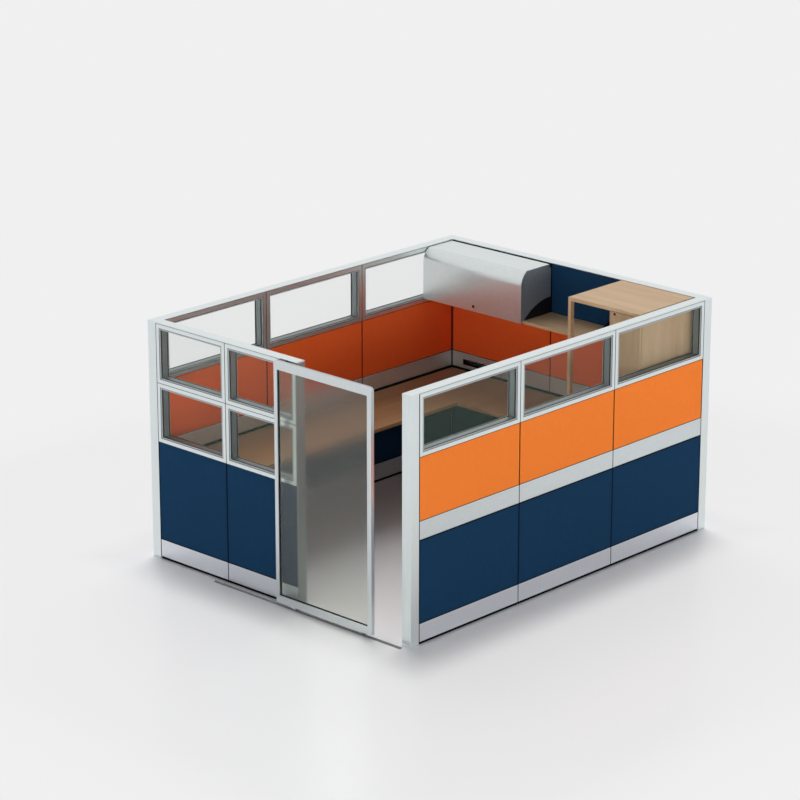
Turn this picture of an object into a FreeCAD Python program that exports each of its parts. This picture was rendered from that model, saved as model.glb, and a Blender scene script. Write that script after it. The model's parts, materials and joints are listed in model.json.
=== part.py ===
"""A cubicle workstation: four panel walls, a sliding door, a desk, a flip-up bin and a tower.

Lengths are in millimetres. Every length is a named cell of the spreadsheet, and each piece is
bound to those cells. Places are worked out from the outer front left corner of the walls, with
x along the front wall, y towards the back wall and z up. X0 and Y0 then shift that corner, so
that the origin lies on the floor in the middle of the whole object.
"""
import FreeCAD, Part
import math
import os
import re
import Sketcher

doc = FreeCAD.newDocument("cubicle_workstation")
sheet = doc.addObject("Spreadsheet::Sheet", "sizes")

SIZES = [
    # The bay
    ("bay_width", 2438, "outside, along the front wall"),
    ("bay_depth", 3048, "outside, front to back"),
    ("wall_height", 1700, "floor to the top of the caps"),
    ("wall_thick", 78, "panels and corner posts"),
    ("doorway", 934, "free end of the front wall to the next post"),
    ("seam", 6, "upright gap between neighbouring panels"),
    ("reveal", 4, "level gap between the covers of one panel"),
    ("wide_panel", 955, "the wide panel of the back wall"),
    # Levels on the walls
    ("base_bottom", 17, "underside of the panels"),
    ("base_top", 143, "top of the base covers"),
    ("belt_low", 714, "bottom of the service strip"),
    ("belt_high", 843, "top of the service strip"),
    ("low_sill", 850, "bottom of the front wall's lower windows"),
    ("window_rise", 428, "bottom of the upper windows below the wall's top"),
    # Corner posts
    ("post_round", 3, "outer corners of a post"),
    ("post_sheet", 3, "wall of the hollow post"),
    # Top caps
    ("cap_thick", 6, "visible plate of the cap"),
    ("neck_height", 4, "foot under the plate"),
    ("neck_inset", 9, "foot behind the wall's face"),
    ("cap_edge", 2, "bevel of the cap's upper edges"),
    # Panel frames, tiles and covers
    ("upright_width", 30, "steel upright of a panel frame"),
    ("rail_height", 30, "steel rail of a panel frame"),
    ("frame_sheet", 1.5, "wall of the hollow uprights and rails"),
    ("tile_thick", 14, "fabric tile or steel cover"),
    ("tile_bevel", 2, "bevelled edge of a fabric tile"),
    ("cover_bevel", 2, "bevelled edge of a steel cover"),
    ("cover_sheet", 1.2, "steel of a folded cover"),
    # Windows
    ("bar_face", 26, "flat face of a window bar"),
    ("bar_web", 12, "web that the two panes rest on"),
    ("bar_sheet", 2.5, "wall of the hollow bar"),
    ("pane_inset", 12, "outer face of a pane behind the wall's face"),
    ("pane_thick", 6, "glass"),
    ("pane_play", 1, "pane edge to the bar"),
    ("bead_face", 9, "visible width of a glazing bead"),
    ("bead_inset", 2, "bead behind the wall's face"),
    # Levelling feet
    ("foot_in", 25, "foot from the upright, under the lowest rail"),
    ("foot_side", 14, "side of the six-sided foot on the floor"),
    ("foot_taper", 20, "lean of its sides in degrees"),
    # Sliding door leaf
    ("door_gap", 32, "wall face to the back of the leaf"),
    ("leaf_thick", 30, "thickness of the leaf"),
    ("leaf_overlap", 150, "leaf over the front wall at rest"),
    ("leaf_width", 874, "width of the leaf"),
    ("leaf_lift", 23, "floor to the underside of the leaf"),
    ("left_stile", 30, "width of the left stile"),
    ("right_stile", 26, "width of the right stile"),
    ("top_rail", 47, "height of the top rail"),
    ("bottom_rail", 52, "height of the bottom rail"),
    ("band_thick", 10, "edge band round the top and right side"),
    ("band_round", 26, "outer corner of the band"),
    ("band_groove", 10, "width of the groove in the band"),
    ("band_groove_depth", 4, "depth of that groove"),
    ("band_bevel", 2, "bevel of the band's outer edges"),
    ("leaf_glass", 8, "frosted pane of the leaf"),
    ("glass_seat", 8, "depth of the slot that holds the pane"),
    ("glass_play", 0.3, "pane to the wall of its slot"),
    ("channel_width", 22, "open channel under the bottom rail"),
    ("channel_depth", 30, "depth of that channel"),
    # Rollers and track
    ("roller_radius", 16, "rim of a door roller"),
    ("tread_radius", 12, "floor of the roller's groove"),
    ("roller_width", 14, "width of a roller"),
    ("tread_width", 4, "floor of the groove"),
    ("roller_in", 186, "left roller from the leaf's left edge"),
    ("roller_out", 78, "right roller from the leaf's right edge"),
    ("axle_radius", 3, "roller axle"),
    ("axle_play", 0.05, "axle to the bore of the roller"),
    ("axle_fit", 0.02, "axle to the fork"),
    ("fork_sheet", 2, "steel of the roller fork"),
    ("fork_length", 30, "fork along the leaf"),
    ("fork_side_gap", 1, "fork to the side of the roller"),
    ("fork_below", 8, "fork below the axle"),
    ("guard_length", 64, "sloping guard ahead of the left roller"),
    ("guard_drop", 12, "guard under the leaf"),
    ("guard_thick", 28, "width of the guard"),
    ("guard_ahead", 1, "guard to the roller's rim"),
    ("track_in", 41, "right end of the floor track from the bay's right side"),
    ("track_length", 1728, "length of the floor track"),
    ("track_width", 30, "base of the track"),
    ("track_base", 2.5, "thickness of that base at the rib"),
    ("track_edge", 1.5, "thickness of that base at its edges"),
    ("rib_height", 10, "rib that the rollers ride on"),
    ("rib_foot", 6, "width of the rib at its foot"),
    ("rib_top", 3.2, "width of the rib at its top"),
    ("tread_gap", 0.3, "roller to the rib"),
    # Top guide of the door
    ("guide_in", 7, "guide from the leaf's left edge"),
    ("guide_length", 62, "guide along the leaf"),
    ("guide_low", 16, "underside of the guide below the wall's top"),
    ("guide_top", 1, "top of the guide below the wall's top"),
    ("guide_gap", 1, "guide to the wall's face"),
    ("tongue_reach", 6, "tongue behind the wall's face"),
    ("tongue_thick", 3, "tongue in the slot under the cap"),
    # Desk
    ("desk_height", 710, "top of the desk"),
    ("desk_thick", 25, "desk board"),
    ("desk_round", 2, "edge of a desk board"),
    ("desk_gap", 10, "desk to the walls"),
    ("left_run", 605, "depth of the left run"),
    ("back_run", 610, "depth of the back run"),
    ("desk_play", 3, "desk to the tall cabinet"),
    # Desk brackets
    ("bracket_sheet", 4, "steel of a desk bracket"),
    ("bracket_reach", 450, "bracket out from the wall"),
    ("bracket_tall", 190, "bracket down the wall"),
    ("bracket_nose", 28, "height of the bracket's nose"),
    ("bracket_sweep", 620, "radius of its hollow lower edge"),
    ("flange_width", 34, "flange under the desk"),
    ("cleat_leg", 28, "angle on the side of the tall cabinet"),
    ("cleat_sheet", 3, "steel of that angle"),
    ("cleat_length", 460, "length of that angle"),
    # Wall shelf
    ("shelf_drop", 372, "top of the wall shelf below the wall's top"),
    ("shelf_thick", 22, "shelf board"),
    ("shelf_depth", 309, "shelf from the back wall"),
    ("shelf_round", 1.5, "front edge of the shelf"),
    ("shelf_play", 1, "shelf to its end plates"),
    ("plate_sheet", 3, "steel end plate"),
    ("plate_ahead", 7, "end plate in front of the shelf"),
    ("plate_under", 6, "end plate under the shelf"),
    ("plate_rise", 119, "end plate above the shelf, at the wall"),
    ("plate_sweep", 416, "radius of its upper edge"),
    ("ledge_width", 14, "ledge that carries a shelf end"),
    # Flip-up bin
    ("hood_gap", 1, "ends of the bin inside the edges of its panel"),
    ("hood_drop", 10, "flat top of the hood below the wall's top"),
    ("hood_under", 18, "lower edge of the hood below the shelf's top"),
    ("hood_out", 326, "front of the hood from the back wall"),
    ("hood_radius", 124, "bend between top and front"),
    ("bend_drop", 107, "centre of the bend below the top"),
    ("hood_sheet", 2.5, "steel of the hood"),
    ("hood_lip", 9, "inward lip along the lower edge"),
    ("hood_back", 18, "rear edge of the hood from the wall"),
    ("hinge_out", 24, "hinge axis from the wall"),
    ("hinge_below", 12, "hinge axis below the hood's top"),
    ("ear_size", 18, "ear that hangs on the hinge pin"),
    ("ear_in", 2, "ear inside the end panel"),
    ("pin_beyond", 1.5, "hinge pin past the ear"),
    ("hinge_radius", 4, "hinge pin"),
    ("hinge_play", 0.05, "pin to the ear"),
    ("hinge_fit", 0.02, "pin to the end panel"),
    ("end_sheet", 3, "end panel of the bin"),
    ("end_play", 3, "end panel to the hood"),
    ("knuckle", 8.5, "radius of the end panel round the hinge pin"),
    ("knuckle_below", 16, "notch behind the knuckle, down from the pin"),
    # Bin lock
    ("lock_in", 496, "lock from the bin's left end"),
    ("lock_up", 37, "lock above the hood's lower edge"),
    ("lock_radius", 9, "barrel"),
    ("lock_flange", 12, "rim of the barrel on the hood"),
    ("lock_rim", 2, "thickness of that rim"),
    ("lock_length", 16, "barrel behind the hood"),
    ("core_radius", 6, "turning core"),
    ("core_play", 0.05, "core to the barrel"),
    ("core_proud", 1, "core in front of the rim"),
    ("key_slot", 6, "length of the key slot"),
    ("key_slot_width", 1.2, "width of the key slot"),
    ("key_slot_depth", 3, "depth of the key slot"),
    ("cam_thick", 2.5, "cam on the back of the core"),
    ("cam_width", 10, "width of the cam"),
    ("cam_reach", 16, "length of the cam from the axis"),
    ("cam_gap", 0.3, "cam to what it turns behind"),
    ("hole_play", 0.3, "barrel to the hole in the hood"),
    ("strike_width", 30, "strike plate"),
    ("strike_sheet", 2, "steel of a strike"),
    ("strike_above", 9, "strike above the shelf"),
    ("strike_below", 18, "strike down the shelf's edge"),
    ("strike_catch", 13, "strike in front of the cabinet lock's cam"),
    ("strike_seat", 24, "leg of that strike on the cabinet's side"),
    # Cable outlet in the service strip
    ("outlet_in", 106, "outlet from the panel's left edge"),
    ("outlet_width", 235, "length of the outlet"),
    ("outlet_up", 36, "outlet above the strip's lower edge"),
    ("outlet_height", 43, "height of the outlet"),
    ("outlet_border", 7, "border of its liner"),
    ("outlet_play", 0.3, "liner to the strip"),
    # Tower
    ("tower_off_seam", 9.5, "left side of the tower from the seam"),
    ("tower_side_gap", 12, "tower to the right wall"),
    ("tower_back_gap", 16, "tower to the back wall"),
    ("tower_deep", 579, "tower's top, front to back"),
    ("tower_board", 25, "top board"),
    ("tower_round", 2, "edge of the top board"),
    ("prop_width", 25, "width of a tower post"),
    ("prop_depth", 35, "depth of a tower post"),
    ("closet_width", 269, "tall cabinet"),
    ("closet_board", 18, "boards of the cabinet"),
    ("closet_back_board", 8, "back of the cabinet"),
    ("closet_plinth", 60, "floor to the cabinet's bottom board"),
    ("closet_door", 18, "cabinet door"),
    ("closet_reveal", 2, "door to the boards round it"),
    ("closet_gap", 4, "door to the front of the boards"),
    ("plinth_setback", 30, "plinth behind the front of the boards"),
    ("low_shelf", 700, "lower shelf in the cabinet"),
    ("high_shelf", 1250, "upper shelf in the cabinet"),
    ("shelf_setback", 12, "cabinet shelf behind the front edge"),
    ("pivot_in", 9, "pivot from the door's right edge"),
    ("pivot_radius", 3, "pivot pin"),
    ("pivot_play", 0.05, "pin to the door"),
    ("pivot_length", 14, "pin into the door"),
    ("pivot_plate", 3, "plate of the pivot"),
    ("pivot_width", 26, "plate along the door"),
    ("pivot_deep", 36, "plate into the cabinet"),
    ("pivot_end_gap", 0.3, "door to the pivot plate"),
    # Cabinet lock
    ("closet_lock_in", 43, "lock from the door's left edge"),
    ("closet_lock_down", 42, "lock below the wall's top"),
]

for row, (alias, value, note) in enumerate(SIZES, start=1):
    sheet.set(f"A{row}", alias)
    sheet.set(f"B{row}", str(value))
    sheet.set(f"C{row}", note)
    sheet.setAlias(f"B{row}", alias)
doc.recompute()

NAMES = {alias for alias, value, note in SIZES}

# Places and sizes that follow from the cells
DERIVED = {
    "front_run": "bay_width - 2 * wall_thick - doorway",
    "narrow_panel": "(bay_width - 2 * wall_thick - wide_panel - 4 * seam) / 2",
    "sill": "wall_height - window_rise",
    "leaf_left": "wall_thick + front_run - leaf_overlap",
    "roller_span": "leaf_width - roller_in - roller_out",
    "track_left": "bay_width - track_in - track_length",
    "shelf_height": "wall_height - shelf_drop",
    "hood_left": "wall_thick + seam + hood_gap",
    "hood_width": "wide_panel - 2 * hood_gap",
    "hood_top": "wall_height - hood_drop",
    "hood_low": "shelf_height - hood_under",
    "outlet_left": "wall_thick + seam + outlet_in",
    "outlet_low": "belt_low + outlet_up",
    "tower_left": "wall_thick + wide_panel + 2 * seam + narrow_panel + tower_off_seam",
    "tower_right": "bay_width - wall_thick - tower_side_gap",
    "tower_back": "bay_depth - wall_thick - tower_back_gap",
    "tower_front": "tower_back - tower_deep",
    "closet_left": "tower_right - closet_width",
}
WORD = re.compile(r"[a-z][a-z_]*")
BASE = ("Placement.Base.x", "Placement.Base.y", "Placement.Base.z")
TINY = 1e-6

X0 = "(0 - bay_width / 2)"
Y0 = "((door_gap + leaf_thick - bay_depth) / 2)"

nodes = []


# Expressions

def cells(text):
    """The text of an expression with each name as a cell, or as what it follows from."""
    def spell(word):
        if word[0] in DERIVED:
            return f"({cells(DERIVED[word[0]])})"
        return "sizes." + word[0] if word[0] in NAMES else word[0]
    return WORD.sub(spell, str(text))


def number(text):
    """What an expression comes to now."""
    return float(sheet.evalExpression(cells(text)))


def bind(thing, texts):
    """Bind each property to its expression."""
    for path, text in texts.items():
        thing.setExpression(path, cells(text))


def place(thing, corner, turn=None):
    """Put a piece at a corner of the bay's own x, y and z, turned about it."""
    if turn is not None:
        thing.Placement.Rotation = turn
    x, y, z = corner
    bind(thing, dict(zip(BASE, (f"{X0} + {x}", f"{Y0} + {y}", z))))


def turned(axis, degrees):
    """A rotation about one of the three axes."""
    return FreeCAD.Rotation(FreeCAD.Vector(*axis), degrees)


def quarter(axis, quarters):
    """A rotation by whole quarter turns."""
    return turned(axis, 90 * quarters)


ALONG_X, ALONG_Y, ALONG_Z = (1, 0, 0), (0, 1, 0), (0, 0, 1)


# Pieces

def block(name, size, corner):
    """A rectangular piece from its lowest corner."""
    box = doc.addObject("Part::Box", name)
    bind(box, dict(zip(("Length", "Width", "Height"), size)))
    place(box, corner)
    return box


def new_body(name):
    """An empty body."""
    return doc.addObject("PartDesign::Body", name)


def origin_plane(body, plane):
    """One of the body's own origin planes."""
    return next(part for part in body.Origin.OriginFeatures if part.Role == plane + "_Plane")


def arc_through(start, end, radius, bend):
    """A short arc from start to end, centre on the left for a bend of 1, else on the right."""
    chord = end - start
    middle = (start + end) * 0.5
    side = FreeCAD.Vector(-chord.y, chord.x, 0).normalize() * bend
    rise = math.sqrt(max(radius ** 2 - (chord.Length / 2) ** 2, 0))
    centre = middle + side * rise
    return Part.Arc(start, centre - side * radius, end)


def new_sketch(body, plane, offset=None):
    """An empty sketch on an origin plane of the body, or at an offset along its normal."""
    sketch = body.newObject("Sketcher::SketchObject", body.Name + "_outline")
    sketch.AttachmentSupport = [(origin_plane(body, plane), "")]
    sketch.MapMode = "FlatFace"
    if offset is not None:
        bind(sketch, {"AttachmentOffset.Base.z": offset})
    return sketch


def draw(body, plane, outlines, closed=True, offset=None):
    """A sketch of outlines whose corners and radii are all held by the sheet.

    A corner is (x, y), or (x, y, radius, bend) where an arc leads to it.
    """
    sketch = new_sketch(body, plane, offset)
    held = []
    for outline in outlines:
        corners = [FreeCAD.Vector(number(c[0]), number(c[1]), 0) for c in outline]
        count = len(corners) if closed else len(corners) - 1
        ends = []
        for step in range(count):
            target = outline[(step + 1) % len(outline)]
            start, end = corners[step], corners[(step + 1) % len(corners)]
            if len(target) == 4:
                shape = arc_through(start, end, number(target[2]), target[3])
                index = sketch.addGeometry(shape)
                forward = sketch.getPoint(index, 1).isEqual(start, TINY)
                held.append((Sketcher.Constraint("Radius", index, number(target[2])), target[2]))
            else:
                index = sketch.addGeometry(Part.LineSegment(start, end))
                forward = True
            ends.append((index, 1 if forward else 2, 2 if forward else 1))
        for step, (index, first, last) in enumerate(ends):
            if closed or step + 1 < len(ends):
                after = ends[(step + 1) % len(ends)]
                sketch.addConstraint(Sketcher.Constraint("Coincident", index, last,
                                                         after[0], after[1]))
        fixed = [(index, first) for index, first, last in ends]
        if not closed:
            fixed.append((ends[-1][0], ends[-1][2]))
        for corner, point, (index, which) in zip(outline, corners, fixed):
            for kind, text, value in (("DistanceX", corner[0], point.x),
                                      ("DistanceY", corner[1], point.y)):
                held.append((Sketcher.Constraint(kind, -1, 1, index, which, value), text))
    for constraint, text in held:
        index = sketch.addConstraint(constraint)
        sketch.setExpression(f"Constraints[{index}]", cells(text))
    return sketch


def rectangle(x0, y0, x1, y1):
    """The outline of a rectangle between two corners."""
    return [(x0, y0), (x1, y0), (x1, y1), (x0, y1)]


def draw_circle(body, plane, x, y, radius, offset=None):
    """A sketch of one circle held by the sheet."""
    sketch = new_sketch(body, plane, offset)
    centre = FreeCAD.Vector(number(x), number(y), 0)
    sketch.addGeometry(Part.Circle(centre, FreeCAD.Vector(0, 0, 1), number(radius)))
    for kind, text in (("DistanceX", x), ("DistanceY", y)):
        index = sketch.addConstraint(Sketcher.Constraint(kind, -1, 1, 0, 3, number(text)))
        sketch.setExpression(f"Constraints[{index}]", cells(text))
    index = sketch.addConstraint(Sketcher.Constraint("Radius", 0, number(radius)))
    sketch.setExpression(f"Constraints[{index}]", cells(radius))
    return sketch


def pad(body, sketch, length, symmetric=False, back=False):
    """Raise a sketch into a solid."""
    feature = body.newObject("PartDesign::Pad", body.Name + "_pad")
    feature.Profile = sketch
    feature.SideType = "Symmetric" if symmetric else "One side"
    feature.Reversed = back
    bind(feature, {"Length": length})
    return feature


def cut(body, sketch, length=None, back=False):
    """Cut a sketch out of the body: right through both ways, or one way to a depth."""
    feature = body.newObject("PartDesign::Pocket", body.Name + "_cut")
    feature.Profile = sketch
    if length is None:
        feature.Type = "ThroughAll"
        feature.SideType = "Symmetric"
    else:
        feature.Reversed = back
        bind(feature, {"Length": length})
    return feature


def spin(body, sketch, axis="V_Axis"):
    """Turn a sketch once round one of its own axes."""
    feature = body.newObject("PartDesign::Revolution", body.Name + "_turned")
    feature.Profile = sketch
    feature.ReferenceAxis = (sketch, [axis])
    feature.Angle = 360
    return feature


def edges_of(feature, pick):
    """The names of the edges that pick chooses by their middle and their run."""
    doc.recompute()
    return [f"Edge{index}" for index, edge in enumerate(feature.Shape.Edges, start=1)
            if pick(edge.CenterOfMass, edge)]


def soften(body, feature, radius, pick):
    """Round the edges that pick chooses."""
    names = edges_of(feature, pick)
    fillet = body.newObject("PartDesign::Fillet", body.Name + "_round")
    fillet.Base = (feature, names)
    bind(fillet, {"Radius": radius})


def bevel(body, feature, size, pick):
    """Bevel the edges that pick chooses."""
    names = edges_of(feature, pick)
    chamfer = body.newObject("PartDesign::Chamfer", body.Name + "_bevel")
    chamfer.Base = (feature, names)
    bind(chamfer, {"Size": size})


def node(label, *pieces):
    """Name a piece, or a group of like pieces, as one sub-part."""
    if len(pieces) == 1:
        whole = pieces[0]
    else:
        whole = doc.addObject("Part::Compound", label)
        whole.Links = list(pieces)
    whole.Label = label
    nodes.append(whole)
    return whole


# Walls

class Wall:
    """One straight wall: which way it runs, where its low face lies and where its panels start."""

    def __init__(self, name, runs_along_x, low_face, starts, widths, last_seam=True):
        self.name = name
        self.runs_along_x = runs_along_x
        self.low_face = low_face
        self.panels = list(zip(starts, widths))
        self.seams = [f"({start} - seam)" for start in starts]
        if last_seam:
            self.seams.append(f"({starts[-1]} + {widths[-1]})")

    def corner(self, along, across, up):
        """A corner of the bay from a place along, across and up the wall."""
        if self.runs_along_x:
            return along, f"{self.low_face} + {across}", up
        return f"{self.low_face} + {across}", along, up

    def block(self, name, along, across, up, length, depth, height):
        """A rectangular piece of the wall."""
        size = (length, depth, height) if self.runs_along_x else (depth, length, height)
        return block(f"{self.name}_{name}", size, self.corner(along, across, up))


def even_panels(run, count):
    """Starts and widths of equal panels with a seam before, between and after them."""
    width = f"(({run} - {count + 1} * seam) / {count})"
    starts = [f"(wall_thick + seam + {index} * ({width} + seam))" for index in range(count)]
    return starts, [width] * count


depth_run = "(bay_depth - 2 * wall_thick)"
back_starts = ["(wall_thick + seam)", "(wall_thick + wide_panel + 2 * seam)",
               "(wall_thick + wide_panel + 3 * seam + narrow_panel)"]
front_panel = "((front_run - cap_thick - neck_height - 2 * seam) / 2)"
front_starts = ["(wall_thick + seam)", f"(wall_thick + 2 * seam + {front_panel})"]

left = Wall("left", False, "0", *even_panels(depth_run, 3))
right = Wall("right", False, "(bay_width - wall_thick)", *even_panels(depth_run, 3))
back = Wall("back", True, "(bay_depth - wall_thick)", back_starts,
            ["wide_panel", "narrow_panel", "narrow_panel"])
front = Wall("front", True, "0", front_starts, [front_panel] * 2, last_seam=False)
walls = (left, right, back, front)

wall_top = "(wall_height - cap_thick - neck_height)"
core_depth = "(wall_thick - 2 * tile_thick)"


# Corner posts

def corner_post(label, x, y):
    """A hollow square post with rounded corners, from the floor to the caps."""
    body = new_body(label)
    square = draw(body, "XY", [rectangle("0", "0", "wall_thick", "wall_thick")])
    raised = pad(body, square, wall_top)
    soften(body, raised, "post_round", lambda centre, edge: abs(edge.tangentAt(0).z) > 0.5)
    inner = "(wall_thick - post_sheet)"
    cut(body, draw(body, "XY", [rectangle("post_sheet", "post_sheet", inner, inner)]))
    place(body, (x, y, "0"))
    node(label, body)


corner_post("post_front_left", "0", "0")
corner_post("post_front_right", "(bay_width - wall_thick)", "0")
corner_post("post_back_left", "0", "(bay_depth - wall_thick)")
corner_post("post_back_right", "(bay_width - wall_thick)", "(bay_depth - wall_thick)")


# Panel frames

def tube(wall, name, along, up, length, height, upright):
    """A hollow steel tube of the panel frame, open at its ends."""
    outer = wall.block(name, along, "tile_thick", up, length, core_depth, height)
    across = "(tile_thick + frame_sheet)"
    depth = f"({core_depth} - 2 * frame_sheet)"
    if upright:
        inner = wall.block(name, f"({along} + frame_sheet)", across, up,
                           f"({length} - 2 * frame_sheet)", depth, height)
    else:
        inner = wall.block(name, along, across, f"({up} + frame_sheet)", length, depth,
                           f"({height} - 2 * frame_sheet)")
    hollow = doc.addObject("Part::Cut", name)
    hollow.Base = outer
    hollow.Tool = inner
    return hollow


def panel_frames(wall, levels, top):
    """Hollow uprights and rails inside each panel of a wall."""
    pieces = []
    for start, width in wall.panels:
        for along in (start, f"({start} + {width} - upright_width)"):
            pieces.append(tube(wall, "upright", along, "base_bottom", "upright_width",
                               f"({top} - base_bottom)", True))
        for level in levels + [f"({top} - rail_height)"]:
            pieces.append(tube(wall, "rail", f"({start} + upright_width)", level,
                               f"({width} - 2 * upright_width)", "rail_height", False))
    node(f"{wall.name}_panel_frames", *pieces)


window_seat = "(sill + reveal / 2)"
low_window_seat = "(low_sill + reveal / 2)"
belt_rail = "(belt_low - rail_height / 2)"
for wall in (left, right):
    panel_frames(wall, ["base_bottom", belt_rail], window_seat)
panel_frames(back, ["base_bottom", belt_rail, "(sill - rail_height / 2)"], wall_top)
panel_frames(front, ["base_bottom"], low_window_seat)


# Tiles and covers

def face_tile(name, wall, low_side, start, width, low, high, edge_bevel, folded):
    """A flat tile, or a folded steel cover, on one face of a panel."""
    body = new_body(name)
    tall = f"({high} - {low})"
    raised = pad(body, draw(body, "XY", [rectangle("0", "0", width, tall)]), "tile_thick")
    outer = number("tile_thick")
    bevel(body, raised, edge_bevel, lambda centre, edge: centre.z > outer - TINY)
    if folded:
        inside = rectangle("cover_sheet", "cover_sheet", f"({width} - cover_sheet)",
                           f"({tall} - cover_sheet)")
        cut(body, draw(body, "XY", [inside]), "(tile_thick - cover_sheet)", back=True)
    upright = quarter(ALONG_X, 1)
    if low_side:
        seat = "tile_thick"
        turn = upright if wall.runs_along_x else quarter(ALONG_Z, -1) * upright
        begin = start if wall.runs_along_x else f"({start} + {width})"
    else:
        seat = "(wall_thick - tile_thick)"
        turn = quarter(ALONG_Z, 2 if wall.runs_along_x else 1) * upright
        begin = f"({start} + {width})" if wall.runs_along_x else start
    place(body, wall.corner(begin, seat, low), turn)
    return body


def row_of_tiles(wall, name, low, high, edge_bevel="tile_bevel", folded=False):
    """Both faces of every panel of a wall between two levels."""
    return [face_tile(f"{wall.name}_{name}", wall, low_side, start, width, low, high,
                      edge_bevel, folded)
            for low_side in (True, False) for start, width in wall.panels]


def above(level):
    """The lower edge of a cover that starts at a level."""
    return f"({level} + reveal / 2)"


def below(level):
    """The upper edge of a cover that ends at a level."""
    return f"({level} - reveal / 2)"


base_covers = []
for wall in walls:
    base_covers += row_of_tiles(wall, "base_cover", "base_bottom", below("base_top"),
                                "cover_bevel", folded=True)
node("base_covers", *base_covers)

for wall in (left, right):
    node(f"{wall.name}_navy_tiles",
         *row_of_tiles(wall, "navy_tile", above("base_top"), below("belt_low")))
node("back_navy_tiles",
     *row_of_tiles(back, "navy_tile", above("base_top"), below("belt_low")),
     *row_of_tiles(back, "high_navy_tile", above("sill"), wall_top))
node("front_navy_tiles",
     *row_of_tiles(front, "navy_tile", above("base_top"), below("low_sill")))
for wall in (left, right, back):
    node(f"{wall.name}_orange_tiles",
         *row_of_tiles(wall, "orange_tile", above("belt_high"), below("sill")))

service_strips = []
for wall in (left, right, back):
    service_strips += row_of_tiles(wall, "service_strip", above("belt_low"),
                                   below("belt_high"), "cover_bevel", folded=True)


def open_outlet(strip):
    """Cut the cable outlet through the strip on the inner face of the wide back panel."""
    across = "(outlet_left - wall_thick - seam)"
    rise = f"(outlet_low - {above('belt_low')})"
    cut(strip, draw(strip, "XY", [rectangle(across, rise, f"({across} + outlet_width)",
                                            f"({rise} + outlet_height)")]))


inner_wide_strip = next(strip for strip in service_strips if strip.Name == "back_service_strip")
open_outlet(inner_wide_strip)
node("service_strips", *service_strips)


# Windows

def mitred_bar(name, length, section, reach, near=True, far=True):
    """A bar along x whose section is outlines in y and z, its ends cut at 45 degrees."""
    body = new_body(name)
    pad(body, draw(body, "YZ", section), length)
    corners = []
    if near:
        corners.append([("0", "0"), (reach, reach), ("0", reach)])
    if far:
        corners.append([(length, "0"), (length, reach), (f"{length} - {reach}", reach)])
    cut(body, draw(body, "XY", corners))
    return body


bar_reach = "(bar_face + bar_web)"
rest_low = "(pane_inset + pane_thick)"
rest_high = f"(wall_thick - {rest_low})"
BAR = [("0", "0"), ("bar_face", "0"), ("bar_face", rest_low), (bar_reach, rest_low),
       (bar_reach, rest_high), ("bar_face", rest_high), ("bar_face", "wall_thick"),
       ("0", "wall_thick")]
BAR_HOLLOW = rectangle("bar_sheet", "bar_sheet", "(bar_face - bar_sheet)",
                       "(wall_thick - bar_sheet)")


def window_bars(wall, start, width, low, high):
    """Four mitred bars round a window, each with its inner side towards the glass."""
    tall = f"({high} - {low})"
    far = f"({start} + {width})"
    upright = quarter(ALONG_X, 1)
    yaw = FreeCAD.Rotation() if wall.runs_along_x else quarter(ALONG_Z, 1)
    seat = "wall_thick" if wall.runs_along_x else "0"
    sides = []
    for quarters, along, up, length in ((0, start, low, width), (1, start, high, tall),
                                        (2, far, high, width), (3, far, low, tall)):
        bar = mitred_bar(f"{wall.name}_window_bar", length, [BAR, BAR_HOLLOW], bar_reach)
        place(bar, wall.corner(along, seat, up), yaw * quarter(ALONG_Y, quarters) * upright)
        sides.append(bar)
    return sides


def window_panes(wall, start, width, low, high):
    """The two panes of one window."""
    edge = "(bar_face + pane_play)"
    return [wall.block("pane", f"({start} + {edge})", across, f"({low} + {edge})",
                       f"{width} - 2 * {edge}", "pane_thick", f"{high} - {low} - 2 * {edge}")
            for across in ("pane_inset", f"(wall_thick - {rest_low})")]


def window_beads(wall, start, width, low, high):
    """A ring of glazing bead in front of each pane of one window."""
    rings = []
    inner = f"({bar_reach} - bead_face)"
    wide = f"({width} - 2 * {inner})"
    tall = f"({high} - {low} - 2 * {inner})"
    for across in ("pane_inset", "(wall_thick - bead_inset)"):
        ring = new_body(f"{wall.name}_bead")
        hole = rectangle("bead_face", "bead_face", f"({wide} - bead_face)",
                         f"({tall} - bead_face)")
        pad(ring, draw(ring, "XZ", [rectangle("0", "0", wide, tall), hole]),
            "(pane_inset - bead_inset)")
        if wall.runs_along_x:
            place(ring, wall.corner(f"({start} + {inner})", across, f"({low} + {inner})"))
        else:
            back_face = f"({across} - pane_inset + bead_inset)"
            place(ring, wall.corner(f"({start} + {inner})", back_face, f"({low} + {inner})"),
                  quarter(ALONG_Z, 1))
        rings.append(ring)
    return rings


beads = []


def windows(wall, rows):
    """Double glazed windows over every panel of a wall, one above the other."""
    bars, panes = [], []
    for low, high in rows:
        for start, width in wall.panels:
            opening = (wall, start, width, low, high)
            bars.extend(window_bars(*opening))
            panes.extend(window_panes(*opening))
            beads.extend(window_beads(*opening))
    node(f"{wall.name}_window_frames", *bars)
    node(f"{wall.name}_window_panes", *panes)


windows(left, [(window_seat, wall_top)])
windows(right, [(window_seat, wall_top)])
windows(front, [(low_window_seat, below("sill")), (above("sill"), wall_top)])
node("glazing_beads", *beads)


# Seam strips, caps and end trim

strips = [wall.block("seam_strip", seam, "tile_thick", "base_bottom", "seam", core_depth,
                     f"{wall_top} - base_bottom") for wall in walls for seam in wall.seams]
node("seam_strips", *strips)

neck_far = "(wall_thick - neck_inset)"
cap_total = "(neck_height + cap_thick)"
bevel_low = f"({cap_total} - cap_edge)"
CAP = [("neck_inset", "0"), (neck_far, "0"), (neck_far, "neck_height"),
       ("wall_thick", "neck_height"), ("wall_thick", bevel_low),
       ("(wall_thick - cap_edge)", cap_total), ("cap_edge", cap_total), ("0", bevel_low),
       ("0", "neck_height"), ("neck_inset", "neck_height")]


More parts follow.
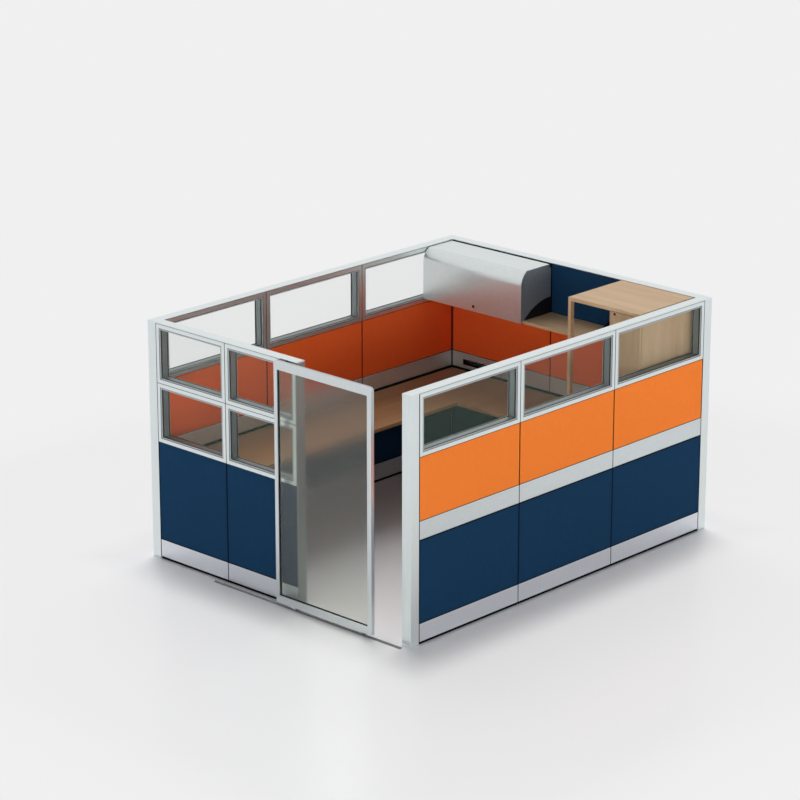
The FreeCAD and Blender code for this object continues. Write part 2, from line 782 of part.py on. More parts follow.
def top_cap(name, length, corner, quarters, near, far):
    """One cap: its inner long side faces the bay, and mitred ends meet the next cap."""
    cap = mitred_bar(name, length, [CAP], "wall_thick", near, far)
    place(cap, corner, quarter(ALONG_Z, quarters))
    return cap


node("top_caps",
     top_cap("left_cap", "bay_depth", ("0", "bay_depth", wall_top), -1, True, True),
     top_cap("back_cap", "bay_width", ("bay_width", "bay_depth", wall_top), 2, True, True),
     top_cap("right_cap", "bay_depth", ("bay_width", "0", wall_top), 1, False, True),
     top_cap("front_cap", "(wall_thick + front_run)", ("0", "0", wall_top), 0, True, False))

trim = new_body("wall_end_trim")
pad(trim, draw(trim, "YZ", [CAP]), f"({wall_top} - base_bottom)")
place(trim, (f"(wall_thick + front_run - {cap_total})", "0", wall_top),
      FreeCAD.Rotation(FreeCAD.Vector(0, 0, -1), FreeCAD.Vector(0, 1, 0),
                       FreeCAD.Vector(1, 0, 0), "XYZ"))
node("wall_end_trim", trim)


# Levelling feet

def foot(wall, along):
    """A six-sided foot that narrows upwards, under the lowest rail."""
    body = new_body("levelling_foot")
    half = "(foot_side / 2)"
    rise = "(foot_side * sqrt(3) / 2)"
    outline = [("foot_side", "0"), (half, rise), (f"(0 - {half})", rise),
               ("(0 - foot_side)", "0"), (f"(0 - {half})", f"(0 - {rise})"),
               (half, f"(0 - {rise})")]
    raised = pad(body, draw(body, "XY", [outline]), "base_bottom")
    bind(raised, {"TaperAngle": "(0 - foot_taper)"})
    place(body, wall.corner(along, "(wall_thick / 2)", "0"))
    return body


feet = [foot(wall, along) for wall in walls for start, width in wall.panels
        for along in (f"({start} + upright_width + foot_in)",
                      f"({start} + {width} - upright_width - foot_in)")]
node("levelling_feet", *feet)


# Sliding door: track

leaf_back = "(0 - door_gap)"
leaf_middle = "(0 - door_gap - leaf_thick / 2)"
leaf_right = "(leaf_left + leaf_width)"
stile_right = f"({leaf_right} - band_thick)"
rail_start = "(leaf_left + left_stile)"
rail_end = f"({stile_right} - right_stile)"
rail_top = "(wall_height - band_thick)"

half_track = "(track_width / 2)"
half_foot = "(rib_foot / 2)"
half_top = "(rib_top / 2)"
track = new_body("floor_track")
TRACK = [(f"(0 - {half_track})", "0"), (half_track, "0"), (half_track, "track_edge"),
         (half_foot, "track_base"), (half_top, "rib_height"), (f"(0 - {half_top})", "rib_height"),
         (f"(0 - {half_foot})", "track_base"), (f"(0 - {half_track})", "track_edge")]
pad(track, draw(track, "YZ", [TRACK]), "track_length")
place(track, ("track_left", leaf_middle, "0"))
node("floor_track", track)


# Sliding door: frame and pane

half_leaf = "(leaf_thick / 2)"
half_slot = "(leaf_glass / 2 + glass_play)"


def slotted_stile(label, width, x, mirrored):
    """An upright of the leaf with a slot for the pane in its inner side."""
    body = new_body(label)
    inner = f"({width} - glass_seat)"
    outline = [("0", f"(0 - {half_leaf})"), (width, f"(0 - {half_leaf})"),
               (width, f"(0 - {half_slot})"), (inner, f"(0 - {half_slot})"),
               (inner, half_slot), (width, half_slot), (width, half_leaf), ("0", half_leaf)]
    if mirrored:
        outline = [(f"({width} - {px})", py) for px, py in outline]
    raised = pad(body, draw(body, "XY", [outline]), f"({rail_top} - leaf_lift)")
    if mirrored:
        edge_x, edge_z = number(width), number(f"({rail_top} - leaf_lift)")
        soften(body, raised, "(band_round - band_thick)",
               lambda centre, edge: centre.x > edge_x - TINY and centre.z > edge_z - TINY)
    place(body, (x, leaf_middle, "leaf_lift"))
    node(label, body)


slotted_stile("door_left_stile", "left_stile", "leaf_left", False)
slotted_stile("door_right_stile", "right_stile", rail_end, True)


def rail(label, outline, low):
    """A level member of the leaf between the two stiles."""
    body = new_body(label)
    pad(body, draw(body, "YZ", [outline]), f"({rail_end} - {rail_start})")
    place(body, (rail_start, leaf_middle, low))
    node(label, body)


TOP_RAIL = [(f"(0 - {half_leaf})", "0"), (f"(0 - {half_slot})", "0"),
            (f"(0 - {half_slot})", "glass_seat"), (half_slot, "glass_seat"),
            (half_slot, "0"), (half_leaf, "0"), (half_leaf, "top_rail"),
            (f"(0 - {half_leaf})", "top_rail")]
half_channel = "(channel_width / 2)"
slot_floor = "(bottom_rail - glass_seat)"
BOTTOM_RAIL = [(f"(0 - {half_leaf})", "0"), (f"(0 - {half_channel})", "0"),
               (f"(0 - {half_channel})", "channel_depth"), (half_channel, "channel_depth"),
               (half_channel, "0"), (half_leaf, "0"), (half_leaf, "bottom_rail"),
               (half_slot, "bottom_rail"), (half_slot, slot_floor),
               (f"(0 - {half_slot})", slot_floor), (f"(0 - {half_slot})", "bottom_rail"),
               (f"(0 - {half_leaf})", "bottom_rail")]
rail("door_top_rail", TOP_RAIL, f"({rail_top} - top_rail)")
rail("door_bottom_rail", BOTTOM_RAIL, "leaf_lift")

glass_low = "(leaf_lift + bottom_rail - glass_seat)"
glass_high = f"({rail_top} - top_rail + glass_seat)"
node("door_glass",
     block("door_glass", (f"{rail_end} - {rail_start} + 2 * glass_seat", "leaf_glass",
                          f"{glass_high} - {glass_low}"),
           (f"({rail_start} - glass_seat)", f"({leaf_middle} - leaf_glass / 2)", glass_low)))


def edge_band(label):
    """A grooved band up the right side, round the corner and along the top of the leaf."""
    body = new_body(label)
    tall = "(wall_height - leaf_lift)"
    bend = f"({tall} - band_round)"
    route = [("0", "0"), ("0", bend), ("(0 - band_round)", tall, "band_round", 1),
             ("(0 - leaf_width)", tall)]
    spine = draw(body, "XZ", [route], closed=False)
    inner = "(0 - band_thick)"
    half_groove = "(band_groove / 2)"
    floor = "(0 - band_groove_depth)"
    shoulder = f"({half_leaf} - band_bevel)"
    outline = [(inner, f"(0 - {half_leaf})"), ("(0 - band_bevel)", f"(0 - {half_leaf})"),
               ("0", f"(0 - {shoulder})"), ("0", f"(0 - {half_groove})"),
               (floor, f"(0 - {half_groove})"), (floor, half_groove), ("0", half_groove),
               ("0", shoulder), ("(0 - band_bevel)", half_leaf), (inner, half_leaf)]
    profile = draw(body, "XY", [outline])
    sweep = body.newObject("PartDesign::AdditivePipe", "edge_band_sweep")
    sweep.Profile = profile
    sweep.Spine = (spine, [])
    place(body, (leaf_right, leaf_middle, "leaf_lift"))
    node(label, body)


edge_band("door_edge_band")


# Sliding door: rollers, forks and guides

axle_up = "(rib_height + tread_gap + tread_radius)"
channel_roof = "(leaf_lift + channel_depth)"
roller_left_x = "(leaf_left + roller_in)"
roller_right_x = f"({roller_left_x} + roller_span)"


def door_roller(label, x):
    """A grooved roller on its axle line, turned round y."""
    body = new_body(label)
    half = "(roller_width / 2)"
    bore = "(axle_radius + axle_play)"
    outline = [(bore, f"(0 - {half})"), ("roller_radius", f"(0 - {half})"),
               ("tread_radius", "(0 - tread_width / 2)"),
               ("tread_radius", "(tread_width / 2)"), ("roller_radius", half), (bore, half)]
    spin(body, draw(body, "XY", [outline]))
    place(body, (x, leaf_middle, axle_up))
    node(label, body)


door_roller("door_roller_left", roller_left_x)
door_roller("door_roller_right", roller_right_x)


def roller_fork(x):
    """A bent steel fork over a roller, screwed to the roof of the channel."""
    body = new_body("roller_fork")
    inner = "(roller_width / 2 + fork_side_gap)"
    outer = f"({inner} + fork_sheet)"
    roof = f"({channel_roof} - {axle_up})"
    under = f"({roof} - fork_sheet)"
    foot_z = "(0 - fork_below)"
    outline = [(f"(0 - {outer})", foot_z), (f"(0 - {inner})", foot_z), (f"(0 - {inner})", under),
               (inner, under), (inner, foot_z), (outer, foot_z), (outer, roof),
               (f"(0 - {outer})", roof)]
    pad(body, draw(body, "YZ", [outline]), "fork_length", symmetric=True)
    cut(body, draw_circle(body, "XZ", "0", "0", "(axle_radius + axle_fit)"))
    place(body, (x, leaf_middle, axle_up))
    return body


def roller_axle(x):
    """A plain pin through the fork."""
    pin = doc.addObject("Part::Cylinder", "roller_axle")
    reach = "(roller_width / 2 + fork_side_gap + fork_sheet)"
    bind(pin, {"Radius": "axle_radius", "Height": f"2 * {reach}"})
    place(pin, (x, f"({leaf_middle} + {reach})", axle_up), quarter(ALONG_X, 1))
    return pin


guard_end = f"({roller_left_x} - roller_radius - guard_ahead)"
guard = new_body("roller_guard")
pad(guard, draw(guard, "XZ", [[("0", "0"), ("(0 - guard_length)", "0"),
                               ("0", "(0 - guard_drop)")]]), "guard_thick", symmetric=True)
place(guard, (guard_end, leaf_middle, "leaf_lift"))
node("door_roller_forks", *[make(x) for x in (roller_left_x, roller_right_x)
                            for make in (roller_fork, roller_axle)])
node("door_roller_guard", guard)

guide = new_body("door_top_guide")
slot_middle = f"({wall_top} + neck_height / 2)"
near_wall = "(0 - guide_gap)"
GUIDE = [(leaf_back, "(wall_height - guide_low)"), (near_wall, "(wall_height - guide_low)"),
         (near_wall, f"({slot_middle} - tongue_thick / 2)"),
         ("tongue_reach", f"({slot_middle} - tongue_thick / 2)"),
         ("tongue_reach", f"({slot_middle} + tongue_thick / 2)"),
         (near_wall, f"({slot_middle} + tongue_thick / 2)"),
         (near_wall, "(wall_height - guide_top)"), (leaf_back, "(wall_height - guide_top)")]
pad(guide, draw(guide, "YZ", [GUIDE]), "guide_length")
place(guide, ("(leaf_left + guide_in)", "0", "0"))
node("door_top_guide", guide)


# Desk

desk_under = "(desk_height - desk_thick)"
desk_left = "(wall_thick + desk_gap)"
desk_back_edge = "(bay_depth - wall_thick - desk_gap)"
desk_corner = f"({desk_back_edge} - back_run)"
inner_back = "(bay_depth - wall_thick)"


def board(label, x0, y0, x1, y1, low, thick, radius):
    """A level board with soft upper edges."""
    body = new_body(label)
    outline = rectangle("0", "0", f"({x1} - {x0})", f"({y1} - {y0})")
    raised = pad(body, draw(body, "XY", [outline]), thick)
    top = number(thick)
    soften(body, raised, radius, lambda centre, edge: centre.z > top - TINY)
    place(body, (x0, y0, low))
    return body


node("desk_left_run",
     board("desk_left_run", desk_left, desk_left, f"({desk_left} + left_run)", desk_corner,
           desk_under, "desk_thick", "desk_round"))
node("desk_back_run",
     board("desk_back_run", desk_left, desk_corner, "(closet_left - desk_play)", desk_back_edge,
           desk_under, "desk_thick", "desk_round"))


def desk_bracket(corner, turn, flange_side):
    """A steel bracket whose plate hangs in a seam and whose flange carries the desk."""
    body = new_body("desk_bracket")
    outline = [("(0 - tile_thick)", "0"), ("bracket_reach", "0"),
               ("bracket_reach", "(0 - bracket_nose)"),
               ("0", "(0 - bracket_tall)", "bracket_sweep", 1),
               ("(0 - tile_thick)", "(0 - bracket_tall)")]
    pad(body, draw(body, "XZ", [outline]), "bracket_sheet", symmetric=True)
    near = f"({-flange_side} * bracket_sheet / 2)"
    far = f"({flange_side} * (flange_width - bracket_sheet / 2))"
    pad(body, draw(body, "XY", [rectangle("desk_gap", near, "bracket_reach", far)]),
        "bracket_sheet", back=True)
    place(body, corner, turn)
    return body


brackets = [desk_bracket(("wall_thick", f"({seam} + seam / 2)", desk_under), None, side)
            for seam, side in zip(left.seams, (1, 1, 1, -1))]
brackets += [desk_bracket((f"({seam} + seam / 2)", inner_back, desk_under),
                          quarter(ALONG_Z, -1), 1) for seam in back.seams[1:3]]
cleat = new_body("desk_cleat")
CLEAT = [("0", "0"), ("(0 - cleat_leg)", "0"), ("(0 - cleat_leg)", "(0 - cleat_sheet)"),
         ("(0 - cleat_sheet)", "(0 - cleat_sheet)"), ("(0 - cleat_sheet)", "(0 - cleat_leg)"),
         ("0", "(0 - cleat_leg)")]
pad(cleat, draw(cleat, "XZ", [CLEAT]), "cleat_length", symmetric=True)
place(cleat, ("closet_left", f"({desk_back_edge} - back_run / 2)", desk_under))
node("desk_brackets", *brackets, cleat)


# Cable outlet

outlet = new_body("cable_outlet")
high_edge = "(outlet_width - outlet_play)"
top_edge = "(outlet_height - outlet_play)"
pad(outlet, draw(outlet, "XZ", [rectangle("outlet_play", "outlet_play", high_edge, top_edge)]),
    "tile_thick", back=True)
cut(outlet, draw(outlet, "XZ", [rectangle("outlet_border", "outlet_border",
                                          "(outlet_width - outlet_border)",
                                          "(outlet_height - outlet_border)")]))
place(outlet, ("outlet_left", inner_back, "outlet_low"))
node("cable_outlet", outlet)


# Wall shelf

shelf_under = "(shelf_height - shelf_thick)"
plate_middles = [f"({seam} + seam / 2)" for seam in back.seams[:3]]
plate_clear = "(plate_sheet / 2 + shelf_play)"


def end_plate(middle, sides):
    """A steel end plate that hangs in a seam, with a ledge on one or both sides."""
    body = new_body("shelf_end_plate")
    out = "(shelf_depth + plate_ahead)"
    rise = "(shelf_thick + plate_rise)"
    nose = f"({rise} - plate_sweep + sqrt(plate_sweep ^ 2 - {out} ^ 2))"
    outline = [("(0 - tile_thick)", "(0 - plate_under)"), (out, "(0 - plate_under)"), (out, nose),
               ("0", rise, "plate_sweep", 1), ("(0 - tile_thick)", rise)]
    pad(body, draw(body, "XZ", [outline]), "plate_sheet", symmetric=True)
    for side in sides:
        ledge = rectangle("ledge_width", f"({-side} * plate_sheet / 2)",
                          "(shelf_depth - ledge_width)",
                          f"({side} * (plate_sheet / 2 + ledge_width))")
        pad(body, draw(body, "XY", [ledge]), "plate_sheet", back=True)
    place(body, (middle, inner_back, shelf_under), quarter(ALONG_Z, -1))
    return body


node("shelf_end_plates", *[end_plate(middle, sides)
                           for middle, sides in zip(plate_middles, ((1,), (1, -1), (-1,)))])
node("wall_shelves",
     *[board("wall_shelf", f"({start} + {plate_clear})", f"({inner_back} - shelf_depth)",
             f"({end} - {plate_clear})", inner_back, shelf_under, "shelf_thick", "shelf_round")
       for start, end in zip(plate_middles, plate_middles[1:])])


# Flip-up bin

bend_out = "(hood_out - hood_radius)"
hood_right = "(hood_left + hood_width)"
axis_y = f"({inner_back} - hinge_out)"
axis_z = "(hood_top - hinge_below)"


def bend_meets(radius, rise):
    """How far out a bend of a radius reaches a level that lies a rise above its centre."""
    return f"({bend_out} + sqrt({radius} ^ 2 - {rise} ^ 2))"


def bin_hood():
    """A bent sheet: flat top, round bend, upright front and a lip, with two hinge ears."""
    body = new_body("bin_hood")
    inner_radius = "(hood_radius - hood_sheet)"
    front = "(0 - hood_out)"
    inside = "(hood_sheet - hood_out)"
    low = "(hood_low - hood_top)"
    outer_bend = f"(0 - {bend_meets('hood_radius', 'bend_drop')})"
    inner_bend = f"(0 - {bend_meets(inner_radius, '(bend_drop - hood_sheet)')})"
    outline = [("(0 - hood_back)", "0"), (outer_bend, "0"),
               (front, "(0 - bend_drop)", "hood_radius", 1), (front, low),
               ("(hood_lip - hood_out)", low), ("(hood_lip - hood_out)", f"({low} + hood_sheet)"),
               (inside, f"({low} + hood_sheet)"), (inside, "(0 - bend_drop)"),
               (inner_bend, "(0 - hood_sheet)", inner_radius, -1),
               ("(0 - hood_back)", "(0 - hood_sheet)")]
    pad(body, draw(body, "YZ", [outline]), "hood_width")
    ear = rectangle("(0 - hinge_out - ear_size / 2)", "(0 - hinge_below - ear_size / 2)",
                    "(0 - hood_back)", "(0 - hood_sheet / 2)")
    inset = "(end_sheet + ear_in)"
    for offset in (inset, f"(hood_width - {inset} - hood_sheet)"):
        pad(body, draw(body, "YZ", [ear], offset=offset), "hood_sheet")
    cut(body, draw_circle(body, "YZ", "(0 - hinge_out)", "(0 - hinge_below)",
                          "(hinge_radius + hinge_play)"))
    cut(body, draw_circle(body, "XZ", "lock_in", f"({low} + lock_up)",
                          "(lock_radius + hole_play)"))
    place(body, ("hood_left", inner_back, "hood_top"))
    node("bin_hood", body)


bin_hood()


def bin_end(x):
    """An end panel that stands on the shelf just inside the hood."""
    body = new_body("bin_end_panel")
    radius = "(hood_radius - hood_sheet - end_play)"
    rise = "(bend_drop - hood_sheet - end_play)"
    front = "(hood_sheet + end_play - hood_out)"
    bend = "(hood_top - bend_drop - shelf_height)"
    top = "(hood_top - hood_sheet - end_play - shelf_height)"
    pin_up = f"({axis_z} - shelf_height)"
    notch = f"({pin_up} - knuckle_below)"
    behind = "(knuckle - hinge_out)"
    over_pin = f"({top} - {pin_up})"
    outline = [("0", "0"), ("0", notch), (behind, notch), (behind, pin_up),
               (f"(sqrt(knuckle ^ 2 - {over_pin} ^ 2) - hinge_out)", top, "knuckle", 1),
               (f"(0 - {bend_meets(radius, rise)})", top), (front, bend, radius, 1),
               (front, "0")]
    pad(body, draw(body, "YZ", [outline]), "end_sheet")
    cut(body, draw_circle(body, "YZ", "(0 - hinge_out)", pin_up,
                          "(hinge_radius + hinge_fit)"))
    place(body, (x, inner_back, "shelf_height"))
    return body


node("bin_end_panels", bin_end("hood_left"), bin_end(f"({hood_right} - end_sheet)"))

pins = []
pin_length = "(end_sheet + ear_in + hood_sheet + pin_beyond)"
for x in ("hood_left", f"({hood_right} - {pin_length})"):
    pin = doc.addObject("Part::Cylinder", "bin_hinge_pin")
    bind(pin, {"Radius": "hinge_radius", "Height": pin_length})
    place(pin, (x, axis_y, axis_z), quarter(ALONG_Y, 1))
    pins.append(pin)
node("bin_hinge_pins", *pins)


# Locks

barrel_depth = "(hood_sheet + lock_length)"
hood_front_y = f"({inner_back} - hood_out)"
lock_x = "(hood_left + lock_in)"
lock_z = "(hood_low + lock_up)"

barrel = new_body("bin_lock_barrel")
bore = "(core_radius + core_play)"
BARREL = [(bore, "(0 - lock_rim)"), ("lock_flange", "(0 - lock_rim)"), ("lock_flange", "0"),
          ("lock_radius", "0"), ("lock_radius", barrel_depth), (bore, barrel_depth)]
spin(barrel, draw(barrel, "XY", [BARREL]))
place(barrel, (lock_x, hood_front_y, lock_z))
node("bin_lock_barrel", barrel)


def lock_core(label, head_radius, head_back, depth, corner, cam_turn):
    """A turning core with a head, a key slot and a cam behind what it passes through."""
    body = new_body(label)
    face = "(0 - lock_rim - core_proud)"
    seat = f"({depth} + cam_gap)"
    outline = [("0", face), (head_radius, face), (head_radius, head_back),
               ("core_radius", head_back), ("core_radius", seat), ("0", seat)]
    if head_radius == "core_radius":
        outline = rectangle("0", face, "core_radius", seat)
    spin(body, draw(body, "XY", [outline]))
    cam = rectangle("(0 - core_radius)", "(0 - cam_width / 2)", "cam_reach", "(cam_width / 2)")
    pad(body, draw(body, "XZ", [cam], offset=f"(0 - {seat})"), "cam_thick", back=True)
    slot = rectangle("(0 - key_slot / 2)", "(0 - key_slot_width / 2)", "(key_slot / 2)",
                     "(key_slot_width / 2)")
    cut(body, draw(body, "XZ", [slot], offset=f"(0 - {face})"), "key_slot_depth")
    place(body, corner, quarter(ALONG_Y, cam_turn))
    node(label, body)


lock_core("bin_lock_core", "core_radius", None, barrel_depth, (lock_x, hood_front_y, lock_z), 0)

bin_strike = block("bin_strike", ("strike_width", "strike_sheet",
                                  "strike_above + strike_below"),
                   (f"({lock_x} - strike_width / 2)",
                    f"({inner_back} - shelf_depth - strike_sheet)",
                    "(shelf_height - strike_below)"))


# Tower

board_under = "(wall_height - tower_board)"
node("tower_top", board("tower_top", "tower_left", "tower_front", "tower_right", "tower_back",
                        board_under, "tower_board", "tower_round"))
node("tower_posts",
     *[block("tower_post", ("prop_width", "prop_depth", f"{board_under} - desk_height"),
             ("tower_left", y, "desk_height"))
       for y in ("tower_front", "(tower_back - prop_depth)")])

carcass_front = "(tower_front + closet_door + closet_gap)"
inside_left = "(closet_left + closet_board)"
inside_right = "(tower_right - closet_board)"
inside_width = f"{inside_right} - {inside_left}"
inside_back = "(tower_back - closet_back_board)"
node("cabinet_sides",
     *[block("cabinet_side", ("closet_board", f"tower_back - {carcass_front}", board_under),
             (x, carcass_front, "0")) for x in ("closet_left", inside_right)])
node("cabinet_back",
     block("cabinet_back", (inside_width, "closet_back_board", f"{board_under} - closet_plinth"),
           (inside_left, inside_back, "closet_plinth")))


def inner_board(low, setback):
    """A level board between the sides of the cabinet."""
    start = f"({carcass_front} + {setback})"
    return block("cabinet_board", (inside_width, f"{inside_back} - {start}", "closet_board"),
                 (inside_left, start, low))


plinth = block("cabinet_plinth", (inside_width, "closet_board", "closet_plinth"),
               (inside_left, f"({carcass_front} + plinth_setback)", "0"))
node("cabinet_boards", inner_board("closet_plinth", "0"), inner_board("low_shelf", "shelf_setback"),
     inner_board("high_shelf", "shelf_setback"), plinth)

door_right = "(tower_right - closet_reveal)"
door_width = f"({door_right} - closet_left)"
pivot_x = f"({door_right} - pivot_in)"
pivot_y = "(tower_front + closet_door / 2)"
door_low = "(closet_plinth + pivot_end_gap)"
door_high = f"({board_under} - pivot_plate - pivot_end_gap)"
door_tall = f"({door_high} - {door_low})"
lock_from_pivot = f"(pivot_in + closet_lock_in - {door_width})"
closet_lock_z = "(wall_height - closet_lock_down)"


def cabinet_door():
    """The cabinet's door with a blind hole for each pivot and a hole for the lock."""
    body = new_body("cabinet_door")
    half = "(closet_door / 2)"
    outline = rectangle(f"(pivot_in - {door_width})", f"(0 - {half})", "pivot_in", half)
    pad(body, draw(body, "XY", [outline]), door_tall)
    hole = ("0", "0", "(pivot_radius + pivot_play)")
    depth = "(pivot_length + pivot_end_gap)"
    cut(body, draw_circle(body, "XY", *hole), depth, back=True)
    cut(body, draw_circle(body, "XY", *hole, offset=door_tall), depth)
    cut(body, draw_circle(body, "XZ", lock_from_pivot, f"({closet_lock_z} - {door_low})", bore))
    place(body, (pivot_x, pivot_y, door_low))
    node("cabinet_door", body)


cabinet_door()


def pivot(at_top):
    """A pivot plate under or over the door with its pin in the door's hole."""
    body = new_body("cabinet_pivot")
    front_y = "(0 - closet_door / 2)"
    notch_x = f"({inside_right} - {pivot_x} - cam_gap)"
    notch_y = "(closet_door / 2 + closet_gap - cam_gap)"
    left_x = f"({notch_x} - pivot_width / 2)"
    outline = [(left_x, front_y), ("pivot_in", front_y), ("pivot_in", notch_y),
               (notch_x, notch_y), (notch_x, "(pivot_deep - closet_door / 2)"),
               (left_x, "(pivot_deep - closet_door / 2)")]
    pad(body, draw(body, "XY", [outline]), "pivot_plate", back=not at_top)
    pin = draw_circle(body, "XY", "0", "0", "pivot_radius")
    pad(body, pin, "(pivot_length + pivot_end_gap)", back=at_top)
    height = f"({board_under} - pivot_plate)" if at_top else "closet_plinth"
    place(body, (pivot_x, pivot_y, height))
    return body


node("cabinet_pivots", pivot(False), pivot(True))
lock_core("cabinet_lock", "lock_radius", "(0 - cam_gap)",
          "(closet_door + closet_gap + strike_sheet)",
          (f"({pivot_x} + {lock_from_pivot})", "tower_front", closet_lock_z), 1)

cabinet_strike = new_body("cabinet_strike")
ANGLE = [("0", "0"), ("strike_catch", "0"), ("strike_catch", "strike_sheet"),
         ("strike_sheet", "strike_sheet"), ("strike_sheet", "strike_seat"), ("0", "strike_seat")]
pad(cabinet_strike, draw(cabinet_strike, "XY", [ANGLE]), "strike_width", symmetric=True)
place(cabinet_strike, (inside_left, carcass_front, closet_lock_z))
node("lock_strikes", bin_strike, cabinet_strike)


# Checks, then one file for each sub-part

doc.recompute()
for thing in doc.Objects:
    if {"Invalid", "Error"} & set(thing.State):
        raise RuntimeError(f"{thing.Label} failed: {thing.State}")
    if thing.TypeId == "PartDesign::Pocket":
        if thing.Shape.Volume > thing.BaseFeature.Shape.Volume - TINY:
            raise RuntimeError(f"{thing.Label} cuts nothing")
if len({whole.Label for whole in nodes}) != len(nodes):
    raise RuntimeError("two sub-parts share a name")

os.makedirs("parts", exist_ok=True)
for whole in nodes:
    if whole.Shape.isNull() or not whole.Shape.isValid():
        raise RuntimeError(f"{whole.Label} has no valid shape")
for whole in nodes:
    whole.Shape.exportStep(f"parts/{whole.Label}.step")
print(len(nodes), "sub-parts,", sum(len(whole.Shape.Solids) for whole in nodes), "solids")
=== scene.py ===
import json
import math

import bmesh
import bpy
import numpy as np
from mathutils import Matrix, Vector


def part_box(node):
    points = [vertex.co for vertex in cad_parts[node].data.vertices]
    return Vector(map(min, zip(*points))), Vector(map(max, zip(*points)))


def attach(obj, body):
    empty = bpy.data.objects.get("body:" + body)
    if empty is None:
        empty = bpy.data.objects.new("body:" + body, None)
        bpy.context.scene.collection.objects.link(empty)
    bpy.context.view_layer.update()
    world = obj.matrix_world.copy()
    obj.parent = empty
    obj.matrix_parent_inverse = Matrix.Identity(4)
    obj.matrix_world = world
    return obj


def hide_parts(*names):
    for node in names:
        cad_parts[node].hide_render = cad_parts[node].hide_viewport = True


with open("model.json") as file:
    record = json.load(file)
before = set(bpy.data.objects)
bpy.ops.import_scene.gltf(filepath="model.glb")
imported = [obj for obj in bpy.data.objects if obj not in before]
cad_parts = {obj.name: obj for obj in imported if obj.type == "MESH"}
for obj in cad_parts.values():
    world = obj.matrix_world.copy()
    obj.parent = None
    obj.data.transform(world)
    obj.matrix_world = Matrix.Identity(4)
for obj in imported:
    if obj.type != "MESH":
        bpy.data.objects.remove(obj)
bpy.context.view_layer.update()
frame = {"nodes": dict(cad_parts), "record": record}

MM = 0.001

# Middles of the walls: the left and right wall along x, the front and back wall along y
WALL_MIDDLES = ((-1.180, 1.180), (-1.454, 1.516))

# Angle in degrees past which an edge is drawn sharp
SOFT_CREASE, FINE_CREASE = 35.0, 25.0


# Shapes: every one is (points, faces), and several make one mesh

# Where the line inside a round edge lies, in radii from the side's rim
FLAT_LINE = 1.5


def joined(shapes):
    """Several (points, faces) as one: each shape's indices move up by the points before it."""
    points, faces, start = [], [], 0
    for shape_points, shape_faces in shapes:
        points.append(shape_points)
        faces += [[corner + start for corner in face] for face in shape_faces]
        start += len(shape_points)
    return np.vstack(points), faces


def grid_faces(rows, columns, close_rows=False, close_columns=False):
    """Quads of a grid of points that are numbered row by row.

    A closed grid has its last row, or its last column, joined to its first."""
    last_row = rows if close_rows else rows - 1
    last_column = columns if close_columns else columns - 1
    row, column = np.meshgrid(np.arange(last_row), np.arange(last_column), indexing="ij")
    next_row, next_column = (row + 1) % rows, (column + 1) % columns
    corners = (row * columns + column, next_row * columns + column,
               next_row * columns + next_column, row * columns + next_column)
    return np.stack(corners, axis=-1).reshape(-1, 4).tolist()


def carried(path, across, deep, profile, closed=False):
    """A closed profile carried along a path: point = path + u * across + v * deep for each (u, v).

    The ends are closed with one face each, unless the path is closed."""
    points = (path[:, None] + profile[None, :, :1] * across[:, None]
              + profile[None, :, 1:] * deep[:, None])
    rows, columns = len(path), len(profile)
    faces = grid_faces(rows, columns, closed, True)
    if not closed:
        faces += [list(range(columns))[::-1], list(range((rows - 1) * columns, rows * columns))]
    return points.reshape(-1, 3), faces


def rounded_block(low, high, radius, steps=4):
    """A box with round edges and corners.

    Each of the six sides is a grid of points of the box. A point goes to its place clamped to
    the box less the radius, plus the radius along what the clamping took away. One more line
    just inside each round edge keeps the flat of the side shaded flat."""
    low, high = np.asarray(low, float), np.asarray(high, float)
    middle, half = (low + high) / 2, (high - low) / 2
    turn = np.linspace(0, np.pi / 4, steps + 1)
    shapes = []
    for side in range(3):
        first, second = (side + 1) % 3, (side + 2) % 3
        lines = []
        for axis in (first, second):
            bend = half[axis] - radius + radius * np.tan(turn)
            bend = np.concatenate(([half[axis] - FLAT_LINE * radius], bend))
            lines.append(np.concatenate((-bend[::-1], bend)))
        for sign in (-1.0, 1.0):
            a, b = np.meshgrid(*lines, indexing="ij")
            raw = np.empty(a.shape + (3,))
            raw[..., side], raw[..., first], raw[..., second] = sign * half[side], a, b
            inner = np.clip(raw, -(half - radius), half - radius)
            away = raw - inner
            away /= np.linalg.norm(away, axis=-1, keepdims=True)
            points = (middle + inner + radius * away).reshape(-1, 3)
            faces = grid_faces(*a.shape)
            shapes.append((points, [face[::int(sign)] for face in faces]))
    return joined(shapes)


def turned_round(profile, centre, axis, steps=64):
    """A closed profile of (radius, along) turned once round an axis through the centre."""
    axis = np.asarray(axis, float)
    side = np.cross(axis, (0.0, 0.0, 1.0) if abs(axis[2]) < 0.9 else (1.0, 0.0, 0.0))
    other = np.cross(axis, side)
    angle = np.linspace(0, 2 * np.pi, steps, endpoint=False)[:, None, None]
    radius, along = profile[None, :, :1], profile[None, :, 1:]
    points = (np.asarray(centre, float) + along * axis
              + radius * (np.cos(angle) * side + np.sin(angle) * other))
    return points.reshape(-1, 3), grid_faces(steps, len(profile), True, True)


